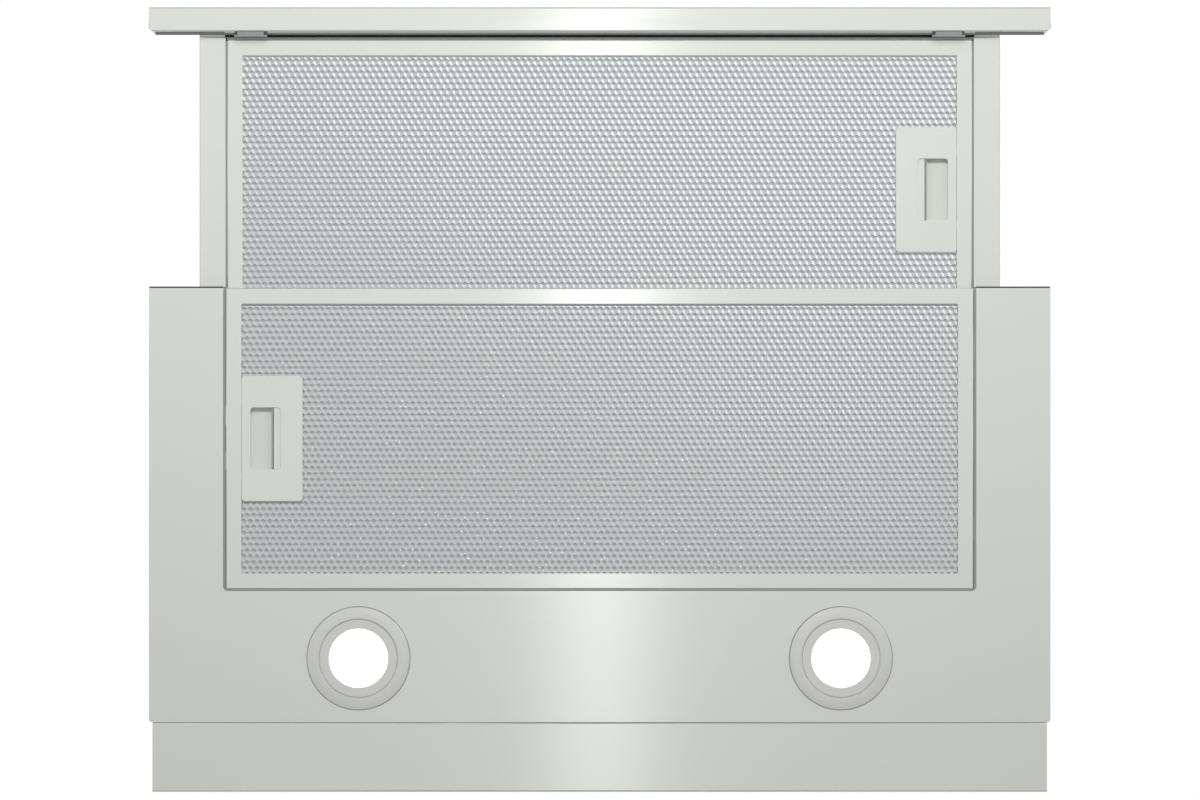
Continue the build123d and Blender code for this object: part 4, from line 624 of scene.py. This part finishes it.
def expanded_sheet(low, high, level, tilt, short_x, short_y):
    """Strands of expanded sheet between two corners in plan, at one height.

    Strand k runs along X in its own row and swings by STRAND_SWING each way between level knuckles,
    with every other strand half a cell along, so that neighbours close on each other at their
    knuckles. Its section is a flat ribbon whose rear edge leans down by the tilt. Strands in the rows
    short_y stop at short_x, beside the latch plate. Where short_y spans nothing, every strand is whole.
    """
    rows = int(round((high[1] - low[1]) / ROW_PITCH))
    columns = int(math.ceil((high[0] - low[0]) / CELL_WIDTH)) + 2
    flat = KNUCKLE_SHARE / 2
    corners = np.array([-flat, flat, 0.5 - flat, 0.5 + flat])
    run_x = (np.arange(columns)[:, None] + corners).ravel() * CELL_WIDTH
    swing = np.tile(np.array([1.0, 1.0, -1.0, -1.0]) * STRAND_SWING, columns)
    half_plan = STRAND_PLAN / 2
    half_rise = half_plan * math.tan(tilt)
    half_thick = STRAND_THICKNESS / 2
    parts = []
    for row in range(rows):
        middle = low[1] + (row + 0.5) * ROW_PITCH
        start, stop = low[0], high[0]
        if short_y[0] < middle < short_y[1]:
            start, stop = (low[0], short_x) if short_x > 0 else (short_x, high[0])
        x = run_x + low[0] - CELL_WIDTH - 0.5 * CELL_WIDTH * (row % 2)
        y = middle + swing
        inside = (x > start) & (x < stop)
        x, y = x[inside], y[inside]
        ring = []
        for across, through in ((-1, -1), (1, -1), (1, 1), (-1, 1)):
            height = level - across * half_rise + through * half_thick
            ring.append(np.stack([x, y + across * half_plan, np.full(len(x), height)], axis=-1))
        points = np.stack(ring, axis=1).reshape(-1, 3)
        last = 4 * (len(x) - 1)
        caps = [np.array([[3, 2, 1, 0]]), np.array([[last, last + 1, last + 2, last + 3]])]
        parts.append((points, [grid_faces(len(x), 4, False, True)] + caps))
    return joined(parts)


def filter_half_width(side):
    """Half the width of a filter's frame, without the hinge tabs at one of its ends."""
    low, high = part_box(side + "_filter_frame")
    return min(-low[0], high[0])


def make_filter_sheets():
    """Each filter's expanded sheet, in place of the plain one, and another on top of the rear filter."""
    for side, body in (("front", "tray"), ("rear", "rear_filter")):
        low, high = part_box(side + "_filter_frame")
        plate_low, plate_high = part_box(side + "_latch_plate")
        reach = filter_half_width(side) - FRAME_BORDER + EDGE_COVER
        corner = (-reach, low[1] + FRAME_BORDER - EDGE_COVER)
        far = (reach, high[1] - FRAME_BORDER + EDGE_COVER)
        short_x = plate_low[0] + EDGE_COVER if plate_low[0] > 0 else plate_high[0] - EDGE_COVER
        rows = (plate_low[1] + EDGE_COVER, plate_high[1] - EDGE_COVER)
        points, faces = expanded_sheet(corner, far, low[2] + SHEET_HEIGHT, STRAND_TILT, short_x, rows)
        make_piece(side + "_expanded_sheet", points, faces, body, "filter_mesh", False, None,
                   (side + "_filter_mesh",))
        if side == "rear":
            points, faces = expanded_sheet(corner, far, low[2] + UPPER_SHEET_HEIGHT, -UPPER_STRAND_TILT,
                                           0.0, (0.0, 0.0))
            make_piece("rear_upper_sheet", points, faces, body, "filter_mesh", False)


def bead_section(width, height):
    """A low flat bead with rounded shoulders, as (across, up) points round it."""
    w, r = width / 2, height * 0.45
    return [(-w, 0.0), (-w, height - r), (-w + r, height), (w - r, height), (w, height - r), (w, 0.0)]


def make_seals():
    """Dark grey strips in the gaps beside the front filter and round the rear one: painted shade of the gaps.
    """
    low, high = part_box("front_filter_frame")
    half = filter_half_width("front")
    x = (half + TRAY_INNER_X) / 2
    section = bead_section(GAP_SHADE_WIDTH, -GAP_SHADE_HEIGHT)
    level = low[2] + GAP_SHADE_DEPTH + GAP_SHADE_HEIGHT
    # painted shade: dark grey strips laid where the gaps beside the front filter are in shade
    for name, side in (("left_tray_gap_shade", -1), ("right_tray_gap_shade", 1)):
        y = np.linspace(low[1] + TRAY_SHADE_END, high[1] - TRAY_SHADE_END, SHADE_STEPS)
        path = np.stack([np.full(SHADE_STEPS, side * x), y, np.full(SHADE_STEPS, level)], axis=-1)
        points, faces = swept(path, section)
        make_piece(name, points, faces, "tray", "rubber", 40, FINISHES["painted_shade_grey"])
    low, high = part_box("rear_filter_frame")
    half = filter_half_width("rear")
    x = (half + OPENING_X) / 2
    y = (high[1] + OPENING_REAR) / 2
    level = low[2] + GAP_SHADE_DEPTH + GAP_SHADE_HEIGHT
    r = OPENING_CORNER - (OPENING_X - x)
    turn = np.linspace(0.0, math.pi / 2, SHADE_STEPS)
    run = np.linspace(low[1] + REAR_SHADE_END, y - r - SHADE_TURN_GAP, SHADE_STEPS)
    left = np.stack([np.full(SHADE_STEPS, -x), run], axis=-1)
    arc_left = np.stack([-x + r - r * np.cos(turn), y - r + r * np.sin(turn)], axis=-1)
    run = np.linspace(-x + r + SHADE_TURN_GAP, x - r - SHADE_TURN_GAP, SHADE_STEPS)
    rear = np.stack([run, np.full(SHADE_STEPS, y)], axis=-1)
    arc_right = np.stack([x - r + r * np.sin(turn), y - r + r * np.cos(turn)], axis=-1)
    right = left[::-1] * (-1, 1)
    plan = np.concatenate([left, arc_left, rear, arc_right, right])
    path = np.concatenate([plan, np.full((len(plan), 1), level)], axis=1)
    # painted shade: a dark grey strip round the rear filter where the opening's gap is in shade
    points, faces = swept(path, bead_section(OPENING_SHADE_WIDTH, -GAP_SHADE_HEIGHT))
    make_piece("rear_filter_gap_shade", points, faces, "rear_filter", "rubber", 40, FINISHES["painted_shade_grey"])


def rounded_loop(low, high, radius, steps=5):
    """Points round a level rectangle whose corners are arcs of the radius, anticlockwise, closed."""
    turn = np.linspace(0.0, math.pi / 2, steps)
    left, right, front, rear = low[0] + radius, high[0] - radius, low[1] + radius, high[1] - radius
    loop = []
    for quarter, (x, y) in enumerate(((right, rear), (left, rear), (left, front), (right, front))):
        angle = turn + quarter * math.pi / 2
        loop.append(np.stack([x + radius * np.cos(angle), y + radius * np.sin(angle)], axis=-1))
    return np.concatenate(loop)


def block_along(start, stop, section):
    """A closed section of (y, z) points carried straight along X: points and faces, ends closed."""
    section = np.asarray(section, dtype=float)
    ends = [np.column_stack([np.full(len(section), x), section]) for x in (start, stop)]
    around = len(section)
    caps = [np.arange(around)[None, ::-1], around + np.arange(around)[None]]
    return np.concatenate(ends), [grid_faces(2, around, False, True)] + caps


def make_latch_trims():
    """The rolled edge round each recess, and along the lip of its slider its edge and a dark strip of painted
    shadow.

    The rolled edge is a quarter circle carried round a rounded rectangle: it leaves the plate level
    and turns up into the recess. The lip's edge and its shadow strip are low rounded bars side by side.
    """
    for side, body, latch in (("front", "tray", "front_latch"), ("rear", "rear_filter", "rear_latch")):
        low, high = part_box(side + "_latch_plate")
        level = low[2]
        middle = (low[1] + high[1]) / 2
        sign = 1.0 if low[0] > 0 else -1.0
        far = max(abs(low[0]), abs(high[0])) - CUP_INSET
        near = far - CUP_WIDTH
        x0, x1 = sorted((sign * near, sign * far))
        y0, y1 = middle - CUP_DEPTH / 2, middle + CUP_DEPTH / 2
        turn = np.linspace(0.0, math.pi / 2, 5)
        section = [(RIM_R * math.sin(a), RIM_R * (1 - math.cos(a))) for a in turn]
        section += [(RIM_R, RIM_R * 1.1), (0.0, RIM_R * 1.1)]
        rings = []
        for inward, up in section:
            loop = rounded_loop((x0 + inward, y0 + inward), (x1 - inward, y1 - inward), CUP_CORNER - inward)
            rings.append(np.column_stack([loop, np.full(len(loop), level + up)]))
        points = np.concatenate(rings)
        faces = [grid_faces(len(section), len(rings[0]), True, True)]
        make_piece(side + "_recess_edge", points, faces, body, "latch_grey", 60)
        y = np.linspace(y0 + RIM_R + LIP_END_GAP, y1 - RIM_R - LIP_END_GAP, 5)
        lip_width = LIP_SHADOW_NEAR - LIP_EDGE_NEAR
        # painted shadow: the dark grey strip beside the lip stands for the shade under the lip's edge
        strips = (("_lip_edge", LIP_EDGE_NEAR, lip_width, "latch_grey", None),
                  ("_lip_bead", LIP_SHADOW_NEAR, LIP_SHADOW_WIDTH, "rubber", "lip_shadow_grey"))
        for name, start, width, slot, finish in strips:
            x = sign * (near + start + width / 2)
            path = np.stack([np.full(5, x), y, np.full(5, level + LIP_STRIP_HEIGHT + LIP_THICKNESS)], axis=-1)
            points, faces = swept(path, bead_section(width, -LIP_THICKNESS))
            make_piece(side + name, points, faces, latch, slot, 40, FINISHES.get(finish))


def make_front_trims():
    """The fascia's strip of painted shadow, rail noses, the front filter's rolled front edge, and dark strips
    of painted shadow on the mesh.

    The fascia's shadow strip is a thin dark strip laid along the rear edge of the fascia's bevel, painted
    shadow of the gap behind it. A nose is a chamfered bar that slopes from the fascia up to the rail. The
    rolled edge is a quarter circle.
    The mesh's shadow strips are thin flat dark strips along the front edges of the mesh and behind each latch
    plate, painted shadow of the frame border and the plate.
    """
    fascia_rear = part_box("fascia")[1][1]
    bevel_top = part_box("fascia")[0][2] + BEVEL_RISE
    bevel = np.array([-BEVEL_RUN, -BEVEL_RISE]) / math.hypot(BEVEL_RUN, BEVEL_RISE)
    outward = np.array([-bevel[1], bevel[0]])
    parts = []
    rear_edge = np.array([fascia_rear, bevel_top])
    near, far = outward * SHADOW_STRIP_NEAR, outward * SHADOW_STRIP_FAR
    runs = ((-SHADOW_STRIP_REACH, -TRAY_INNER_X, END_SHADOW_STRIP_WIDTH), (-TRAY_INNER_X, TRAY_INNER_X, SHADOW_STRIP_WIDTH),
            (TRAY_INNER_X, SHADOW_STRIP_REACH, END_SHADOW_STRIP_WIDTH))
    for start, stop, width in runs:
        down = bevel * width * math.hypot(BEVEL_RUN, BEVEL_RISE) / BEVEL_RUN
        section = [rear_edge + near, rear_edge + down + near, rear_edge + down + far, rear_edge + far]
        parts.append(block_along(start, stop, section))
    points, faces = joined(parts)
    # painted shadow: a dark grey strip along the fascia's rear edge stands for the shade in the gap behind
    # the fascia
    make_piece("fascia_shadow_strip", points, faces, "tray", "rubber", False, FINISHES["fascia_shadow_grey"])
    for side, sign in (("left", -1.0), ("right", 1.0)):
        low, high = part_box(side + "_tray_rail")
        outer = low[0] + NOSE_OUTER_INSET if sign < 0 else high[0] - NOSE_OUTER_INSET
        x = sorted((sign * (TRAY_INNER_X + NOSE_SIDE_GAP), outer))
        foot = low[2]
        start, stop = fascia_rear + FASCIA_GAP, fascia_rear + NOSE_DEPTH
        section = [(start, foot - NOSE_DROP), (stop, foot - NOSE_TIP), (stop, foot - TOUCH_GAP),
                   (start, foot - TOUCH_GAP)]
        points, faces = block_along(x[0], x[1], section)
        make_piece(side + "_rail_nose", points, faces, "tray", "stainless", False)
    low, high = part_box("front_filter_frame")
    half = filter_half_width("front")
    turn = np.linspace(0.0, math.pi / 2, 7)
    front = low[1] - TOUCH_GAP
    section = [(front - EDGE_ROLL_R * math.sin(a), low[2] + EDGE_ROLL_R * (1 - math.cos(a))) for a in turn]
    section += [(front, low[2] + EDGE_ROLL_R)]
    points, faces = block_along(-half, half, section)
    make_piece("front_filter_rolled_edge", points, faces, "tray", "filter_aluminium", 40,
               FINISHES["rolled_aluminium"])
    # painted shadow: thin dark strips where the frame border and the latch plate shade the mesh, paler on the
    # front filter
    for side, body in (("front", "tray"), ("rear", "rear_filter")):
        low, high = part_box(side + "_filter_frame")
        plate_low, plate_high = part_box(side + "_latch_plate")
        reach = filter_half_width(side) - FRAME_BORDER
        runs = [(-reach, reach, low[1] + FRAME_BORDER + TOUCH_GAP),
                (max(plate_low[0], -reach), min(plate_high[0], reach), plate_high[1] + TOUCH_GAP)]
        z0, z1 = low[2] + MESH_SHADOW_LEVELS[0], low[2] + MESH_SHADOW_LEVELS[1]
        parts = []
        for start, stop, y in runs:
            behind = y + MESH_SHADOW_WIDTH
            parts.append(block_along(start, stop, [(y, z0), (behind, z0), (behind, z1), (y, z1)]))
        points, faces = joined(parts)
        finish = FINISHES["mesh_shadow_grey" if side == "front" else "painted_shade_grey"]
        make_piece(side + "_mesh_trim", points, faces, body, "rubber", False, finish)


def shape_labels(points, edges):
    """The lowest point number in each point's own connected shape."""
    label = np.arange(len(points))
    while True:
        before = label.copy()
        least = np.minimum(label[edges[:, 0]], label[edges[:, 1]])
        np.minimum.at(label, edges[:, 0], least)
        np.minimum.at(label, edges[:, 1], least)
        if (label == before).all():
            return label


def make_screws():
    """A threaded screw with a washer face and a chamfered hexagon stands for each plain screw.

    The shank and the washer are one turned profile, whose thread is a row of ridges. The hexagon is
    turned in six sides and has a shallow dish in its end.
    """
    mesh = merged_copy("housing_screws")
    points = np.empty(len(mesh.vertices) * 3)
    mesh.vertices.foreach_get("co", points)
    points = points.reshape(-1, 3)
    edges = np.empty(len(mesh.edges) * 2, dtype=np.int64)
    mesh.edges.foreach_get("vertices", edges)
    label = shape_labels(points, edges.reshape(-1, 2))
    shank = [(0.0, -SCREW_LENGTH), (TIP_R, -SCREW_LENGTH + TIP_CHAMFER)]
    for i in range(int((SCREW_LENGTH - THREAD_MARGIN) / THREAD_PITCH)):
        z = -SCREW_LENGTH + THREAD_START + i * THREAD_PITCH
        shank += [(THREAD_ROOT_R, z), (THREAD_R, z + THREAD_PITCH * 0.4),
                  (THREAD_ROOT_R, z + THREAD_PITCH * 0.8)]
    shank += [(NECK_R, -NECK_HEIGHT), (NECK_R, 0.0), (WASHER_R, 0.0), (WASHER_R, WASHER_EDGE),
              (WASHER_CROWN_R, WASHER_HEIGHT), (0.0, WASHER_HEIGHT)]
    shoulder = SCREW_HEAD - HEX_CHAMFER
    head = [(0.0, HEX_FOOT), (HEX_R, HEX_FOOT), (HEX_R, shoulder), (HEX_R - HEX_CHAMFER, SCREW_HEAD),
            (DISH_R, SCREW_HEAD), (DISH_FLOOR_R, shoulder), (0.0, shoulder)]
    parts = []
    for first in np.unique(label):
        own = points[label == first]
        low, high = own.min(axis=0), own.max(axis=0)
        along = int(np.argmax(high - low))
        seat = (low + high) / 2
        seat[along] = high[along] - SCREW_HEAD
        axis = np.eye(3)[along]
        parts.append(turned(shank, seat, SCREW_SIDES, axis))
        parts.append(turned(head, seat, 6, axis))
    points, faces = joined(parts)
    make_piece("washer_screws", points, faces, "housing", "zinc", 25, None, ("housing_screws",))


def make_switch_details():
    """Three ribs across each knob, and raised numerals beside its stops.

    A rib is a low trapezium carried along X on the knob's front.
    """
    for name in ("speed_slider", "light_slider"):
        low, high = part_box(name)
        x, front, z = (low[0] + high[0]) / 2, low[1], (low[2] + high[2]) / 2
        parts = []
        for step in (-1, 0, 1):
            middle = z + step * RIB_PITCH
            section = [(front + RIB_SINK, middle - RIB_FOOT_HALF), (front - RIB_PROUD, middle - RIB_TOP_HALF),
                       (front - RIB_PROUD, middle + RIB_TOP_HALF), (front + RIB_SINK, middle + RIB_FOOT_HALF)]
            parts.append(block_along(x - RIB_HALF, x + RIB_HALF, section))
        points, faces = joined(parts)
        make_piece(name + "_ribs", points, faces, name, "knob_plastic", False)
    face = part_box("switch_cheek")[0][1]
    low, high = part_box("light_slider")
    marks = [(str(i), SPEED_NUMERAL_X, SPEED_NUMERAL_Z + i * SPEED_PITCH) for i in range(4)]
    marks += [(str(i), (low[0] + high[0]) / 2, z) for i, z in enumerate(LIGHT_NUMERAL_Z)]
    work = bmesh.new()
    for text, x, z in marks:
        curve = bpy.data.curves.new("numeral", "FONT")
        curve.body = text
        curve.size = NUMERAL_SIZE
        curve.extrude = NUMERAL_PROUD
        curve.align_x = "CENTER"
        curve.align_y = "CENTER"
        carrier = bpy.data.objects.new("numeral", curve)
        mesh = bpy.data.meshes.new_from_object(carrier)
        mesh.transform(Matrix.Translation((x, face, z)) @ Matrix.Rotation(math.pi / 2, 4, "X"))
        work.from_mesh(mesh)
        bpy.data.objects.remove(carrier)
        bpy.data.curves.remove(curve)
        bpy.data.meshes.remove(mesh)
    bmesh.ops.remove_doubles(work, verts=work.verts, dist=NUMERAL_MERGE)
    mesh = bpy.data.meshes.new("switch_numerals")
    work.to_mesh(mesh)
    work.free()
    show(mesh, "switch_numerals", "housing", "black_plastic", FINISHES["marking"])


def rounded_corner(centre, radius, start, stop, steps=6):
    """Points on an arc of a profile, from one angle in degrees to another."""
    angle = np.radians(np.linspace(start, stop, steps))
    return [(centre[0] + radius * math.cos(a), centre[1] + radius * math.sin(a)) for a in angle]


def make_lamps():
    """Turned bezels with a groove at the step, thin dark rings of painted shadow under their rims, and
    crowned lenses.

    Each is a profile of (radius, height) turned about the lamp's axis. The lens bulges by LENS_CROWN
    as a parabola of the radius.
    """
    for side in ("left", "right"):
        low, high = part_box(side + "_lamp_bezel")
        x, y = (low[0] + high[0]) / 2, (low[1] + high[1]) / 2
        bore = LENS_R + BORE_GAP
        proud = RING_PROUD
        inner = proud - RING_DISH
        profile = [(bore, 0.0), (bore, -inner + BORE_CHAMFER), (bore + BORE_CHAMFER, -inner)]
        profile += [(STEP_R - GROOVE, -inner), (STEP_R - GROOVE * 0.7, -inner + GROOVE_DEPTH)]
        profile += [(STEP_R, -inner + GROOVE_DEPTH), (STEP_R + STEP_CHAMFER * 0.5, -proud + STEP_CHAMFER),
                    (STEP_R + STEP_CHAMFER * 1.5, -proud)]
        profile += rounded_corner((RING_R - RING_EDGE_R, -proud + RING_EDGE_R), RING_EDGE_R, -90, 0)
        profile += [(RING_R, 0.0), (RING_R - FLANGE, 0.0), (bore + SPIGOT, 0.0)]
        profile += [(bore + SPIGOT, SPIGOT_HEIGHT), (bore, SPIGOT_HEIGHT)]
        points, faces = turned(profile, (x, y, PANEL_LOW_Z), LAMP_SIDES)
        make_piece(side + "_lamp_ring", points, faces, "housing", "lamp_ring", 35, None,
                   (side + "_lamp_bezel",))
        # painted shadow: a thin dark grey ring round the bezel's rim stands for the contact shade against the
        # panel
        near, far = RING_R - LAMP_SHADE_IN, RING_R + LAMP_SHADE_OUT
        top, foot = LAMP_SHADE_LEVELS
        shadow_ring = [(near, top), (far, top), (far, foot), (near, foot)]
        points, faces = turned(shadow_ring, (x, y, PANEL_LOW_Z), LAMP_SIDES)
        make_piece(side + "_lamp_seal", points, faces, "housing", "rubber", 35, FINISHES["painted_shade_grey"])
        front = LENS_SUNK - proud
        crown = [(LENS_R * s, front - LENS_CROWN * (1 - s * s) + (LENS_EDGE if s == 1.0 else 0.0))
                 for s in LENS_STEPS]
        lens = crown + [(LENS_R, front + LENS_THICKNESS), (0.0, front + LENS_THICKNESS)]
        points, faces = turned(lens, (x, y, PANEL_LOW_Z))
        make_piece(side + "_lamp_diffuser", points, faces, "housing", "lamp_lens", 35, None,
                   (side + "_lamp_lens",))


def make_camera():
    """The photograph's camera: level, straight below, with the front of the hood at the top."""
    data = bpy.data.cameras.new("camera")
    data.sensor_width = SENSOR
    data.lens = SENSOR * CAMERA_DISTANCE / (PHOTO_WIDTH_PX * MM_PER_PX * MM)
    data.clip_end = CLIP_END
    camera = bpy.data.objects.new("camera", data)
    x = (PHOTO_WIDTH_PX / 2 - PANEL_CENTRE_PX[0]) * MM_PER_PX * MM
    y = PANEL_FRONT_Y + (PHOTO_HEIGHT_PX / 2 - PANEL_CENTRE_PX[1]) * MM_PER_PX * MM
    camera.location = (x, y, PANEL_LOW_Z - CAMERA_DISTANCE)
    camera.rotation_euler = (math.pi, 0.0, 0.0)
    bpy.context.scene.collection.objects.link(camera)
    bpy.context.scene.camera = camera


def make_light(name, place, aim, size, radiance, diffuse=True, glossy=True):
    """A soft box of the given width and height, facing aim, as bright as radiance all over."""
    data = bpy.data.lights.new(name, "AREA")
    data.shape = "RECTANGLE"
    data.size, data.size_y = size
    data.energy = radiance * math.pi * size[0] * size[1]
    light = bpy.data.objects.new(name, data)
    light.location = place
    direction = np.array(aim, dtype=float) - np.array(place, dtype=float)
    level = math.hypot(direction[0], direction[1])
    turn = math.atan2(direction[1], direction[0]) - math.pi / 2 if level > 1e-6 else 0.0
    light.rotation_euler = (math.pi / 2 + math.atan2(direction[2], level), 0.0, turn)
    light.visible_camera = False
    light.visible_diffuse = diffuse
    light.visible_glossy = glossy
    bpy.context.scene.collection.objects.link(light)
    return light


def make_studio():
    """White surroundings whose tone changes with direction, a bright line below the middle, and soft boxes.

    The line is brightest where a direction's sideways slope, X over depth, is nought, and fades
    out at STREAK_SLOPE. It gives the steel its one streak down the middle. The camera sees plain
    white, which meets the floor's tone at the horizon.
    """
    world = bpy.data.worlds.new("studio")
    bpy.context.scene.world = world
    sky = Finish("studio", world)
    way = sky.add("ShaderNodeTexCoord", output="Generated")
    sideways = sky.add("ShaderNodeSeparateXYZ", {}, {"Vector": way}, output="X")
    rearward = sky.add("ShaderNodeSeparateXYZ", {}, {"Vector": way}, output="Y")
    upward = sky.add("ShaderNodeSeparateXYZ", {}, {"Vector": way}, output="Z")
    tones = [(0.0, 0.60), (0.18, 0.78), (0.2485, 0.73), (0.30, 0.56), (0.34, 0.50), (0.40, 0.82),
             (0.455, 0.845), (0.488, 0.765), (0.511, 0.687), (0.5195, 0.662), (0.5376, 0.610),
             (0.60, 0.46), (0.75, 0.44), (1.0, 0.60)]
    below = sky.ramp(rearward * 0.5 + 0.5, tones)
    down = sky.add("ShaderNodeMath", {"operation": "MAXIMUM"}, {0: upward * -1.0, 1: 0.05})
    slope = abs(sideways / down)
    line = sky.add("ShaderNodeMapRange", {"interpolation_type": "SMOOTHERSTEP"},
                   {"Value": slope, "From Min": 0.0, "From Max": STREAK_SLOPE,
                    "To Min": STREAK_RADIANCE, "To Max": 0.0})
    halo = sky.add("ShaderNodeMapRange", {"interpolation_type": "SMOOTHERSTEP"},
                   {"Value": slope, "From Min": 0.0, "From Max": HALO_SLOPE,
                    "To Min": HALO_RADIANCE, "To Max": 0.0})
    along = sky.ramp(rearward * 0.5 + 0.5, [(0.2, 0.0), (0.35, 0.3), (0.4575, 0.72), (0.488, 1.0),
                                           (0.5195, 0.54), (0.5376, 0.41), (0.575, 0.16), (0.65, 0.0)])
    height = upward * 0.5 + 0.5
    near = below + (line * along + halo) * (height < 0.05)
    walls = sky.ramp(height, [(0.0, 0.30), (0.25, 0.30), (0.42, 0.44), (0.47, 0.32), (0.53, 0.32),
                              (0.60, 0.52), (0.80, 0.86), (1.0, 0.92)])
    behind_hood = sky.ramp(rearward * 0.5 + 0.5, [(0.90, 0.0), (0.99, 0.26)])
    share = sky.ramp(height, [(0.10, 0.0), (0.20, 1.0)])
    glow = near * (1.0 - share) + (walls + behind_hood) * share
    colour = sky.add("ShaderNodeCombineColor", {}, {"Red": glow, "Green": glow, "Blue": glow})
    around = sky.add("ShaderNodeBackground", {}, {"Color": colour, "Strength": 1.0})
    pale = sky.ramp(height, [(0.50, 0.72), (0.58, 1.0)])
    backdrop = sky.add("ShaderNodeCombineColor", {}, {"Red": pale, "Green": pale, "Blue": pale})
    behind = sky.add("ShaderNodeBackground", {}, {"Color": backdrop, "Strength": 1.0})
    seen = sky.add("ShaderNodeLightPath", output="Is Camera Ray")
    both = sky.add("ShaderNodeMixShader", {}, {0: seen, 1: around, 2: behind})
    sky.add("ShaderNodeOutputWorld", {}, {"Surface": both})
    key = make_light("key_below", (0.0, -1.45, -2.9), (0.0, -0.67, 0.0), (0.5, 0.5), 7.2, glossy=False)
    key.data.spread = KEY_SPREAD
    make_light("glint_box", (1.3, -2.15, -2.9), (0.0, -0.1, 0.0), (1.5, 0.9), 0.75, diffuse=False)
    make_light("side_box", (2.6, -1.6, -0.9), (0.0, 0.0, 0.0), (1.4, 1.4), 2.2)
    make_light("top_box", (-1.8, -1.6, 3.2), (0.0, 0.0, 0.1), (1.8, 1.8), 4.0)
    bpy.context.scene.view_settings.view_transform = "Standard"


def make_floor():
    """A plain pale floor far below, which only the camera sees."""
    half, level = FLOOR_HALF, FLOOR_LEVEL
    finish = Finish("floor")
    speck = finish.noise((0.4, 0.4, 0.4), 2.0)
    colour = finish.blend(speck, (0.86, 0.86, 0.855), (0.88, 0.88, 0.875))
    material = finish.shade(Base_Color=colour, Roughness=0.8)
    mesh = bpy.data.meshes.new("floor")
    mesh.from_pydata([(-half, -half, level), (half, -half, level), (half, half, level), (-half, half, level)],
                     [], [(0, 1, 2, 3)])
    mesh.materials.append(material)
    floor = bpy.data.objects.new("floor", mesh)
    floor.visible_glossy = False
    floor.visible_diffuse = False
    floor.visible_shadow = False
    bpy.context.scene.collection.objects.link(floor)


dress_nodes()
smooth_nodes()
make_filter_sheets()
make_seals()
make_lamps()
make_latch_trims()
make_front_trims()
make_screws()
make_switch_details()
make_camera()
make_studio()
make_floor()
